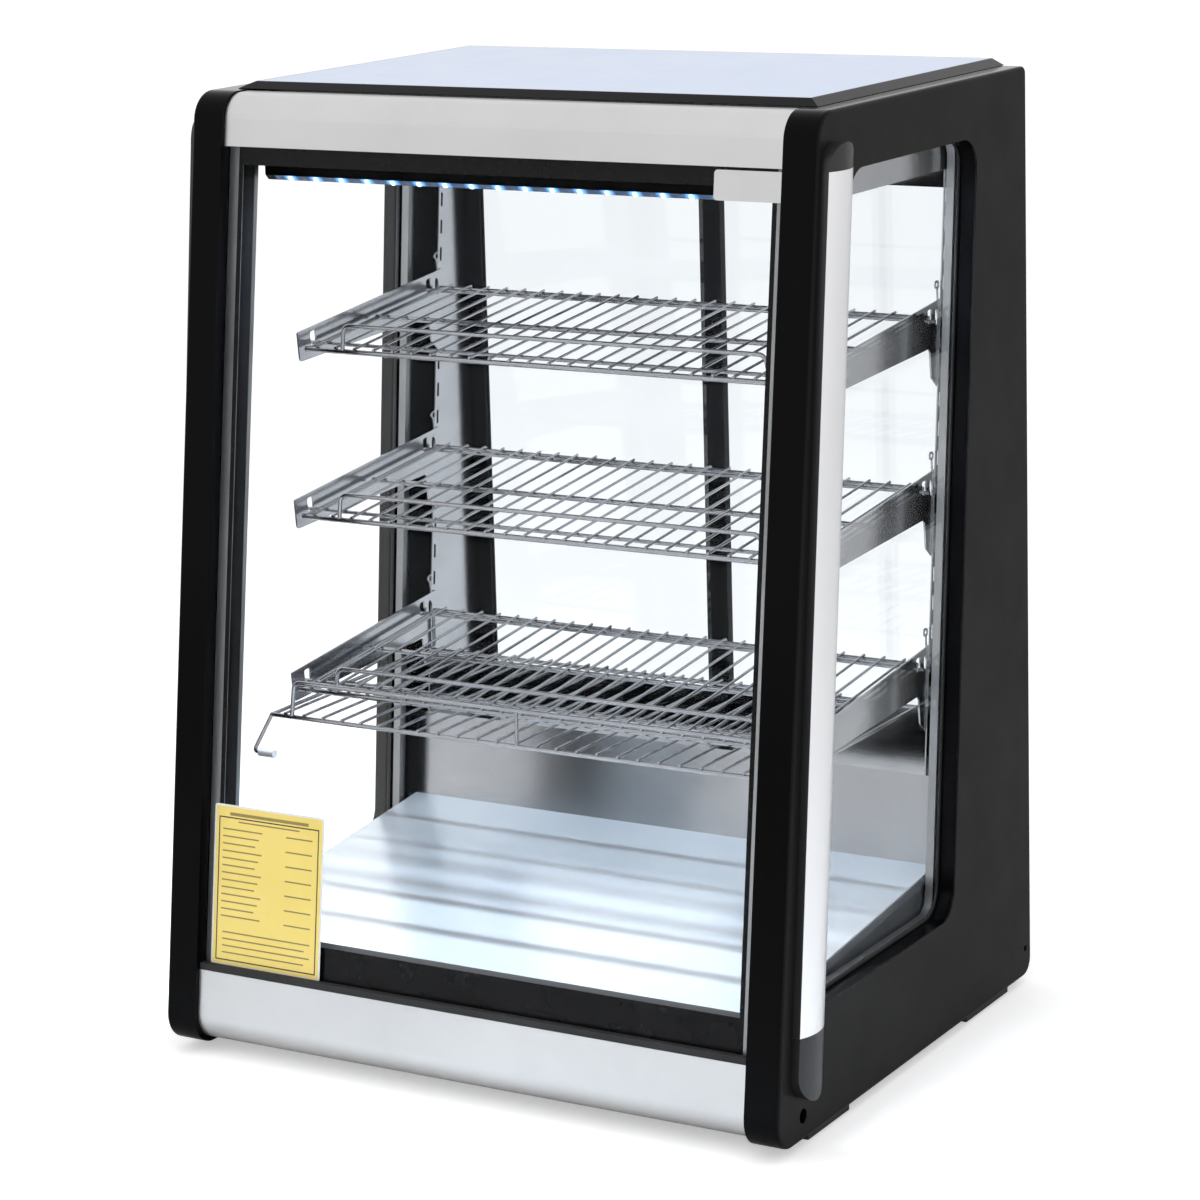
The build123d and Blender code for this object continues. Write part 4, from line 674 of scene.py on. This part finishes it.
class Bench:
    """Ways to model a piece with operators, each in its own clean selection."""

    CRISP_ANGLE = math.radians(30)
    ROD_SIDES = 24

    @staticmethod
    def clear() -> None:
        """Leave edit mode and select nothing."""
        if bpy.context.object and bpy.context.object.mode != "OBJECT":
            bpy.ops.object.mode_set(mode="OBJECT")
        bpy.ops.object.select_all(action="DESELECT")

    @staticmethod
    def only(obj: Piece) -> None:
        """Select one object and make it active."""
        Bench.clear()
        obj.select_set(True)
        bpy.context.view_layer.objects.active = obj

    @staticmethod
    def settle(obj: Piece) -> None:
        """Put the object's place into its mesh."""
        Bench.only(obj)
        bpy.ops.object.transform_apply(location=True, rotation=True, scale=True)

    @staticmethod
    def finish(obj: Piece, bevel: float = 0.0, segments: int = 2) -> None:
        """Round a piece's edges, shade it and turn its faces out.

        Args:
            obj: The piece.
            bevel: Width of the rounded edges, in metres.
            segments: Steps in each rounded edge.
        """
        Bench.only(obj)
        if bevel > 0:
            edge = obj.modifiers.new("edges", "BEVEL")
            edge.width = bevel
            edge.segments = segments
            edge.limit_method = "ANGLE"
            bpy.ops.object.modifier_apply(modifier=edge.name)
        bpy.ops.object.mode_set(mode="EDIT")
        bpy.ops.mesh.select_all(action="SELECT")
        bpy.ops.mesh.normals_make_consistent(inside=False)
        bpy.ops.object.mode_set(mode="OBJECT")
        bpy.ops.object.shade_smooth_by_angle(angle=Bench.CRISP_ANGLE)

    @staticmethod
    def block(name: str, low: Point, high: Point) -> Piece:
        """A box between two corners, ready to be shaped."""
        Bench.clear()
        centre = [(a + b) / 2 for a, b in zip(low, high)]
        size = [b - a for a, b in zip(low, high)]
        bpy.ops.mesh.primitive_cube_add(size=1, location=centre, scale=size)
        obj = bpy.context.object
        obj.name = name
        Bench.settle(obj)
        return obj

    @staticmethod
    def rod(name: str, radius: float, length: float, centre: Point, turn: Point) -> Piece:
        """A round bar of the given radius and length, turned in place."""
        Bench.clear()
        bpy.ops.mesh.primitive_cylinder_add(
            vertices=Bench.ROD_SIDES, radius=radius, depth=length, location=centre, rotation=turn
        )
        obj = bpy.context.object
        obj.name = name
        Bench.settle(obj)
        return obj

    @staticmethod
    def pick_faces(obj: Piece, test: Callable[[bmesh.types.BMFace], bool]) -> None:
        """Enter edit mode with only the faces that pass a test selected."""
        Bench.only(obj)
        bpy.ops.object.mode_set(mode="EDIT")
        bpy.ops.mesh.select_mode(type="FACE")
        bpy.ops.mesh.select_all(action="DESELECT")
        mesh = bmesh.from_edit_mesh(obj.data)
        for face in mesh.faces:
            face.select = test(face)
        bmesh.update_edit_mesh(obj.data)

    @staticmethod
    def sheet(name: str, corners: Sequence[Vector], radius: float = 0.0, segments: int = 6) -> Piece:
        """A flat four-cornered sheet with rounded corners.

        Args:
            name: The piece's name.
            corners: The four corners in order.
            radius: How far each corner is cut back.
            segments: Steps in each rounded corner.

        Returns:
            The sheet, one face and no thickness.
        """
        Bench.clear()
        bpy.ops.mesh.primitive_plane_add(size=1)
        obj = bpy.context.object
        obj.name = name
        order = (0, 1, 3, 2)
        for index, corner in zip(order, corners):
            obj.data.vertices[index].co = corner
        if radius > 0:
            Bench.only(obj)
            bpy.ops.object.mode_set(mode="EDIT")
            bpy.ops.mesh.select_mode(type="VERT")
            bpy.ops.mesh.select_all(action="SELECT")
            bpy.ops.mesh.bevel(offset=radius, segments=segments, affect="VERTICES")
            bpy.ops.object.mode_set(mode="OBJECT")
        return obj

    @staticmethod
    def ring(obj: Piece, width: float) -> None:
        """Cut the middle out of a flat sheet and leave a band of one width."""
        Bench.only(obj)
        bpy.ops.object.mode_set(mode="EDIT")
        bpy.ops.mesh.select_mode(type="FACE")
        bpy.ops.mesh.select_all(action="SELECT")
        bpy.ops.mesh.inset(thickness=width, depth=0)
        bpy.ops.mesh.delete(type="FACE")
        bpy.ops.object.mode_set(mode="OBJECT")

    @staticmethod
    def thicken(obj: Piece, thickness: float) -> None:
        """Give a sheet its thickness, about its middle."""
        Bench.only(obj)
        shell = obj.modifiers.new("thickness", "SOLIDIFY")
        shell.thickness = thickness
        shell.offset = 0.0
        bpy.ops.object.modifier_apply(modifier=shell.name)

    @staticmethod
    def join(name: str, parts: Iterable[Piece]) -> Piece:
        """Make one object of several."""
        parts = list(parts)
        Bench.clear()
        for part in parts:
            part.select_set(True)
        bpy.context.view_layer.objects.active = parts[0]
        if len(parts) > 1:
            bpy.ops.object.join()
        joined = bpy.context.object
        joined.name = name
        return joined


@dataclass
class SubAssembly:
    """A group of added pieces that ride on one body."""

    dresser: Dresser
    made: list = field(default_factory=list)

    def keep(self, obj: Piece, material: Material, slot: str, body: str = "cabinet") -> None:
        """Dress a finished piece and let it ride on its body.

        Args:
            obj: The piece.
            material: Its finish.
            slot: The record's slot that it is nearest to; not used.
            body: The body that carries it.
        """
        wear(obj, material)
        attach(obj, body)
        self.made.append(obj.name)
        LOG.info("added piece %s", obj.name)


@dataclass
class FrontPrint(SubAssembly):
    """The black print round the front glass, on the outer pane's inner face."""

    side_width: float = 17 * MM
    bottom: float = 76 * MM
    band_top: float = 139 * MM
    top: float = 1003 * MM
    top_band: float = 30 * MM
    depth: float = 0.25 * MM
    side_gap: float = 1.0 * MM

    def build(self) -> None:
        """Make the four bands of the print."""
        setback = SIZES.glass_setback + SIZES.pane + self.depth
        reach = SIZES.inner_x - self.side_gap
        inside = reach - self.side_width
        spans = {
            "print_left": (-reach, -inside, self.bottom, self.top),
            "print_right": (inside, reach, self.bottom, self.top),
            "print_low": (-inside, inside, self.bottom, self.band_top),
            "print_high": (-inside, inside, self.top - self.top_band, self.top),
        }
        finish = MouldedFinish(
            "black_print",
            (0.003, 0.003, 0.0035),
            (0.006, 0.006, 0.007),
            (0.2, 0.3),
            900.0,
            0.02,
            mirror=0.16,
        )
        material = self.dresser.special(finish)
        for name, (left, right, low, high) in spans.items():
            corners = [
                SIZES.on_front(left, low, setback),
                SIZES.on_front(right, low, setback),
                SIZES.on_front(right, high, setback),
                SIZES.on_front(left, high, setback),
            ]
            band = Bench.sheet(name, corners)
            Bench.thicken(band, self.depth)
            Bench.finish(band)
            self.keep(band, material, "black_rubber")


@dataclass
class WindowSeals(SubAssembly):
    """A rubber seal between each side window's reveal and its glass."""

    width: float = 4.5 * MM
    radius: float = 30 * MM
    thickness: float = 2.2 * MM
    glass_gap: float = 0.1 * MM
    reveal_gap: float = 0.3 * MM
    edge_round: float = 0.6 * MM
    corner_steps: int = 10

    def corners(self, x: float, grow: float) -> list[Vector]:
        """The window's four corners at one X, grown outward by grow."""
        low = SIZES.window_bottom - grow
        high = SIZES.window_top + grow
        front = SIZES.window_front_margin
        return [
            Vector((x, SIZES.front_y(low) + front - grow, low)),
            Vector((x, SIZES.window_back_y(low) + grow, low)),
            Vector((x, SIZES.window_back_y(high) + grow, high)),
            Vector((x, SIZES.front_y(high) + front - grow, high)),
        ]

    def build(self) -> None:
        """Make a seal for the left and the right window."""
        for side, name in ((-1, "left_window_seal"), (1, "right_window_seal")):
            x = side * (SIZES.inner_x + SIZES.glazing + self.thickness / 2 + self.glass_gap)
            seal = Bench.sheet(name, self.corners(x, -self.reveal_gap), self.radius, self.corner_steps)
            Bench.ring(seal, self.width)
            Bench.thicken(seal, self.thickness)
            Bench.finish(seal, self.edge_round)
            self.keep(seal, self.dresser.book["black_rubber"], "black_rubber")


@dataclass
class FrontCard(SubAssembly):
    """A yellow card on the front glass with a black rule and plain brown bars."""

    left: float = -331 * MM
    right: float = -187 * MM
    low: float = 103 * MM
    high: float = 280 * MM
    margin: float = 6 * MM
    rule: float = 1.3 * MM
    thickness: float = 0.5 * MM
    glass_gap: float = 0.05 * MM
    sheet_round: float = 3 * MM
    face_inset: float = 2.2 * MM
    face_round: float = 2 * MM
    face_thickness: float = 0.12 * MM
    face_lift: float = 0.15 * MM
    ink_thickness: float = 0.1 * MM
    ink_lift: float = 0.3 * MM
    top_margin_share: float = 2.2
    title_bar: float = 3.4 * MM
    plain_bar: float = 1.5 * MM

    def strip(self, name: str, box: Box, lift: float, radius: float = 0.0) -> Piece:
        """A thin sheet on the card, at a lift in front of the glass."""
        left, right, low, high = box
        setback = SIZES.glass_setback - lift
        corners = [
            SIZES.on_front(left, low, setback),
            SIZES.on_front(right, low, setback),
            SIZES.on_front(right, high, setback),
            SIZES.on_front(left, high, setback),
        ]
        return Bench.sheet(name, corners, radius)

    def rows(self) -> list[Point]:
        """Plain bars as (height from the top, start, end), as shares of the card."""
        head = [(0.055, 0.14, 0.86), (0.1, 0.22, 0.78)]
        pairs = [(0.15 + 0.045 * i, 0.08, 0.44 - 0.03 * (i % 3)) for i in range(13)]
        values = [(0.15 + 0.045 * i, 0.66 + 0.02 * (i % 2), 0.9) for i in range(0, 13, 2)]
        foot = [(0.79 + 0.042 * i, 0.1, 0.9 - 0.05 * (i % 2)) for i in range(4)]
        return head + pairs + values + foot

    def build(self) -> None:
        """Make the card, its rule and its bars."""
        paper = MouldedFinish(
            "white_card", (0.82, 0.82, 0.8), (0.88, 0.88, 0.86), (0.35, 0.45), 1600.0, 0.05
        )
        yellow = MouldedFinish(
            "yellow_card", (0.93, 0.72, 0.19), (0.98, 0.77, 0.23), (0.3, 0.4), 1600.0, 0.04
        )
        ink = MouldedFinish(
            "card_ink", (0.02, 0.02, 0.018), (0.04, 0.035, 0.03), (0.4, 0.5), 1600.0, 0.03
        )
        faint = MouldedFinish(
            "card_bars", (0.3, 0.23, 0.07), (0.36, 0.28, 0.1), (0.4, 0.5), 1600.0, 0.03
        )
        outer = (self.left, self.right, self.low, self.high)
        sheet = self.strip("card_sheet", outer, self.thickness / 2 + self.glass_gap, self.sheet_round)
        Bench.thicken(sheet, self.thickness)
        Bench.finish(sheet)
        self.keep(sheet, self.dresser.special(paper), "pale_panel")
        inset = self.face_inset
        face_box = (self.left + inset, self.right - inset, self.low + inset, self.high - inset)
        face = self.strip("card_face", face_box, self.thickness + self.face_lift, self.face_round)
        Bench.thicken(face, self.face_thickness)
        Bench.finish(face)
        self.keep(face, self.dresser.special(yellow), "pale_panel")
        gap = self.margin
        rule_top = self.high - gap * self.top_margin_share
        rule_box = (self.left + gap, self.right - gap, self.low + gap, rule_top)
        rule = self.strip("card_rule", rule_box, self.thickness + self.ink_lift)
        Bench.ring(rule, self.rule)
        Bench.thicken(rule, self.ink_thickness)
        Bench.finish(rule)
        self.keep(rule, self.dresser.special(ink), "black_rubber")
        width = self.right - self.left
        height = self.high - self.low
        bars = []
        for index, (drop, start, end) in enumerate(self.rows()):
            thick = self.title_bar if index == 0 else self.plain_bar
            middle = self.high - drop * height
            bar_left = self.left + start * width
            bar_right = self.left + end * width
            box = (bar_left, bar_right, middle - thick / 2, middle + thick / 2)
            bar = self.strip(f"bar_{index}", box, self.thickness + self.ink_lift)
            Bench.thicken(bar, self.ink_thickness)
            bars.append(bar)
        joined = Bench.join("card_bars", bars)
        Bench.finish(joined)
        self.keep(joined, self.dresser.special(faint), "black_rubber")


@dataclass
class LightStrip(SubAssembly):
    """The narrow strip on the light bar's slanted edge that carries the light points, with their light
    painted onto it as a blue glow.
    """

    width: float = 7.0 * MM
    thickness: float = 0.4 * MM
    length: float = 640.0 * MM
    point_depth: float = 1.6 * MM
    bar_gap: float = 0.05 * MM

    def build(self) -> None:
        """Make the strip under the row of points."""
        points = frame["nodes"]["light_points"]
        corners = [Vector(corner) for corner in points.bound_box]
        slant = math.sqrt(0.5)
        rise = self.point_depth / 2 * slant
        y = sum(corner.y for corner in corners) / len(corners) + rise
        z = sum(corner.z for corner in corners) / len(corners) + rise
        half = self.width / 2 * slant
        reach = self.length / 2
        out = self.bar_gap * slant
        outline = [
            Vector((-reach, y - half - out, z + half - out)),
            Vector((reach, y - half - out, z + half - out)),
            Vector((reach, y + half - out, z - half - out)),
            Vector((-reach, y + half - out, z - half - out)),
        ]
        strip = Bench.sheet("light_strip", outline)
        Bench.thicken(strip, self.thickness)
        Bench.finish(strip)
        # The strip is no lamp: its blue glow, strong round each light point and faint between them, is
        # painted light spill from the points.
        finish = LampFinish(
            "light_strip_painted_glow",
            core=(0.12, 0.4, 1.0),
            edge=(0.06, 0.14, 0.3),
            strength=(2.4, 0.3),
            reach=(2.5 * MM, 10.0 * MM),
            base=((0.03, 0.05, 0.09), (0.05, 0.08, 0.13)),
        )
        self.keep(strip, self.dresser.special(finish), "light_lens")


@dataclass
class DoorTrim(SubAssembly):
    """Brush seals along the doors' meeting stiles."""

    seal_width: float = 5 * MM
    seal_depth: float = 2.4 * MM
    seal_x: float = 7 * MM
    low: float = 300 * MM
    high: float = 925 * MM
    edge_round: float = 0.8 * MM

    def build(self) -> None:
        """Make a brush seal on each door's overlapping stile."""
        left_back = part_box("left_door_frame")[1].y
        right_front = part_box("right_door_frame")[0].y
        seals = [
            ("left_door_seal", "left_door", self.seal_x, left_back, left_back + self.seal_depth),
            ("right_door_seal", "right_door", -self.seal_x, right_front - self.seal_depth, right_front),
        ]
        for name, body, x, near, far in seals:
            half = self.seal_width / 2
            seal = Bench.block(name, (x - half, near, self.low), (x + half, far, self.high))
            Bench.finish(seal, self.edge_round)
            self.keep(seal, self.dresser.book["black_rubber"], "black_rubber", body)


@dataclass
class RearFixings(SubAssembly):
    """Screw heads on the rear cover and the rail over the doors."""

    radius: float = 4 * MM
    height: float = 2.2 * MM
    rim_share: float = 0.35
    slot_share: float = 0.2
    slot_depth: float = 0.8 * MM
    edge_round: float = 0.4 * MM
    cover_x: Sequence[float] = (-0.325, -0.165, 0.0, 0.325)
    cover_z: Sequence[float] = (0.034, 0.252)
    rail_x: Sequence[float] = (-0.3, -0.1, 0.1, 0.3)
    rail_z: float = 1.0

    def places(self) -> list[Point]:
        """Where the screws sit, as points on the outer faces."""
        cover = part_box("rear_cover")[1]
        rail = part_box("rear_top_rail")[1]
        low = [(x, cover.y, z) for x in self.cover_x for z in self.cover_z]
        high = [(x, rail.y, self.rail_z) for x in self.rail_x]
        return low + high

    def screw(self, index: int, place: Point) -> Piece:
        """One rounded screw head with a sunk middle, facing back."""
        x, y, z = place
        centre = (x, y + self.height / 2, z)
        head = Bench.rod(f"screw_{index}", self.radius, self.height, centre, (math.radians(90), 0, 0))
        Bench.pick_faces(head, lambda face: face.normal.y > 0.9)
        bpy.ops.mesh.inset(thickness=self.radius * self.rim_share, depth=0.0)
        bpy.ops.mesh.inset(thickness=self.radius * self.slot_share, depth=-self.slot_depth)
        bpy.ops.object.mode_set(mode="OBJECT")
        return head

    def build(self) -> None:
        """Make the screws as one piece."""
        heads = [self.screw(i, place) for i, place in enumerate(self.places())]
        joined = Bench.join("rear_screws", heads)
        Bench.finish(joined, self.edge_round)
        self.keep(joined, self.dresser.book["chrome_wire"], "chrome_wire")


@dataclass
class ControlFace(SubAssembly):
    """The controller's two lit figures."""

    digit_height: float = 11 * MM
    stroke: float = 1.6 * MM
    stroke_depth: float = 0.6 * MM
    centre_x: float = 126 * MM
    centre_z: float = 205 * MM
    spread: float = 8 * MM
    sink: float = 0.9 * MM
    edge_round: float = 0.2 * MM

    def build(self) -> None:
        """Make two lit figures behind the controller's window."""
        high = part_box("switch_housings")[1]
        y = high.y - self.sink
        centre_z = self.centre_z
        half = self.digit_height / 2
        width = self.digit_height * 0.5
        bars = []
        segments = {"3": "abcdg", "5": "acdfg"}
        for place, figure in enumerate(("3", "5")):
            x = self.centre_x + (self.spread if place == 0 else -self.spread)
            shapes = {
                "a": ((x - width / 2, centre_z + half), (x + width / 2, centre_z + half)),
                "b": ((x - width / 2, centre_z), (x - width / 2, centre_z + half)),
                "c": ((x - width / 2, centre_z - half), (x - width / 2, centre_z)),
                "d": ((x - width / 2, centre_z - half), (x + width / 2, centre_z - half)),
                "f": ((x + width / 2, centre_z), (x + width / 2, centre_z + half)),
                "g": ((x - width / 2, centre_z), (x + width / 2, centre_z)),
            }
            for key in segments[figure]:
                (x0, z0), (x1, z1) = shapes[key]
                half_stroke = self.stroke / 2
                half_depth = self.stroke_depth / 2
                low = (min(x0, x1) - half_stroke, y - half_depth, min(z0, z1) - half_stroke)
                high_corner = (max(x0, x1) + half_stroke, y + half_depth, max(z0, z1) + half_stroke)
                bars.append(Bench.block(f"segment_{place}_{key}", low, high_corner))
        joined = Bench.join("display_figures", bars)
        Bench.finish(joined, self.edge_round, 1)
        glow = LampFinish("display_glow", (1.0, 0.12, 0.06), (1.0, 0.12, 0.06), (2.5, 2.5))
        self.keep(joined, self.dresser.special(glow), "light_lens")


# Floor, light and camera


@dataclass(frozen=True)
class StudioLamp:
    """One soft rectangular lamp, which lights but isn't mirrored."""

    name: str
    place: Point
    aim: Point
    size: Pair
    power: float
    tint: Colour = (1.0, 1.0, 1.0)

    def build(self) -> None:
        """Set the lamp up, turned to the point that it faces."""
        data = bpy.data.lights.new(self.name, "AREA")
        data.shape = "RECTANGLE"
        data.size, data.size_y = self.size
        data.energy = self.power
        data.color = self.tint
        obj = bpy.data.objects.new(self.name, data)
        bpy.context.scene.collection.objects.link(obj)
        direction = Vector(self.aim) - Vector(self.place)
        obj.location = self.place
        obj.rotation_euler = direction.to_track_quat("-Z", "Y").to_euler()
        obj.visible_glossy = False


LAMPS = (
    StudioLamp("key_left", (-2.6, -2.6, 2.4), (0, 0, 0.5), (1.6, 2.2), 26),
    StudioLamp("top_soft", (0.3, -0.4, 3.4), (0, 0, 0.6), (3.0, 2.4), 26),
    StudioLamp("right_strip", (3.2, -0.6, 1.2), (0, 0, 0.5), (0.7, 2.6), 14),
    StudioLamp("case_light", (0, -0.11, 0.94), (0, 0, 0.2), (0.62, 0.03), 18, (0.7, 0.85, 1.0)),
)


@dataclass
class Studio:
    """The pale floor, the soft lamps, the white world and the camera."""

    floor_size: float = 30.0
    floor_glow: float = 0.42
    ambient: float = 0.62
    sensor: float = 36.0
    lens: float = 111.78
    shift: float = -0.1667
    place: Point = (2.0330, -3.4586, 1.4367)
    right: Point = (0.8655, 0.5002, -0.0261)
    up: Point = (-0.0676, 0.1682, 0.9834)
    ahead: Point = (-0.4963, 0.8494, -0.1794)

    def floor(self) -> None:
        """Lay the pale floor, which glows a little to the camera and through glass."""
        Bench.clear()
        bpy.ops.mesh.primitive_plane_add(size=self.floor_size, location=(0, 0, 0))
        ground = bpy.context.object
        ground.name = "studio_floor"
        Bench.settle(ground)
        desk = MaterialDesk("studio_floor")
        desk.set(Roughness=0.6)
        patches = desk.effect(Effect.DUST, Scale=1.5)
        desk.link(desk.blend(patches, (0.9, 0.9, 0.9), (0.92, 0.92, 0.92)), "Base Color")
        desk.set(Emission_Color=(1.0, 1.0, 1.0))
        glow = self.seen_rays(desk.tree, self.floor_glow, ("Camera", "Transmission"))
        desk.link(glow, "Emission Strength")
        wear(ground, desk.material)

    def seen_rays(self, tree: Tree, strength: float, kinds: Sequence[str]) -> Socket:
        """A strength for some kinds of ray alone.

        Args:
            tree: The tree to add the nodes to.
            strength: The value for those rays.
            kinds: The kinds of ray, such as Camera.

        Returns:
            The strength's socket.
        """
        path = tree.nodes.new("ShaderNodeLightPath")
        found = path.outputs[f"Is {kinds[0]} Ray"]
        for kind in kinds[1:]:
            either = tree.nodes.new("ShaderNodeMath")
            either.operation = "MAXIMUM"
            tree.links.new(found, either.inputs[0])
            tree.links.new(path.outputs[f"Is {kind} Ray"], either.inputs[1])
            found = either.outputs["Value"]
        scale = tree.nodes.new("ShaderNodeMath")
        scale.operation = "MULTIPLY"
        scale.inputs[1].default_value = strength
        tree.links.new(found, scale.inputs[0])
        return scale.outputs["Value"]

    def world(self) -> None:
        """White where it is seen, and a plain soft light where it is not."""
        world = bpy.data.worlds.new("studio_world")
        bpy.context.scene.world = world
        world.use_nodes = True
        tree = world.node_tree
        background = tree.nodes["Background"]
        background.inputs["Color"].default_value = (1.0, 1.0, 1.0, 1.0)
        seen = self.seen_rays(tree, 1.0 - self.ambient, ("Camera", "Glossy", "Transmission"))
        add = tree.nodes.new("ShaderNodeMath")
        add.operation = "ADD"
        add.inputs[1].default_value = self.ambient
        tree.links.new(seen, add.inputs[0])
        tree.links.new(add.outputs["Value"], background.inputs["Strength"])

    def camera(self) -> None:
        """Set the camera at the photograph's place and framing."""
        data = bpy.data.cameras.new("photo_camera")
        data.sensor_fit = "HORIZONTAL"
        data.sensor_width = self.sensor
        data.lens = self.lens
        data.shift_y = self.shift
        data.clip_end = 100.0
        obj = bpy.data.objects.new("photo_camera", data)
        bpy.context.scene.collection.objects.link(obj)
        back = -Vector(self.ahead)
        axes = Matrix((self.right, self.up, back)).transposed()
        obj.matrix_world = Matrix.Translation(Vector(self.place)) @ axes.to_4x4()
        bpy.context.scene.camera = obj

    def build(self) -> None:
        """Set up the whole studio."""
        self.floor()
        self.world()
        for lamp in LAMPS:
            lamp.build()
        self.camera()
        scene = bpy.context.scene
        scene.view_settings.view_transform = "Standard"
        scene.cycles.max_bounces = 24
        scene.cycles.transmission_bounces = 24
        scene.cycles.transparent_max_bounces = 48


def main(studio: Optional[Studio] = None) -> None:
    """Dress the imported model, add the pieces and set up the studio."""
    logging.basicConfig(level=logging.INFO)
    dresser = Dresser()
    dresser.dress_nodes()
    for group in (FrontPrint, WindowSeals, FrontCard, LightStrip, DoorTrim, RearFixings, ControlFace):
        part = group(dresser)
        part.build()
        LOG.info("%s made %d pieces", group.__name__, len(part.made))
    (studio or Studio()).build()


if __name__ == "__main__":
    main()
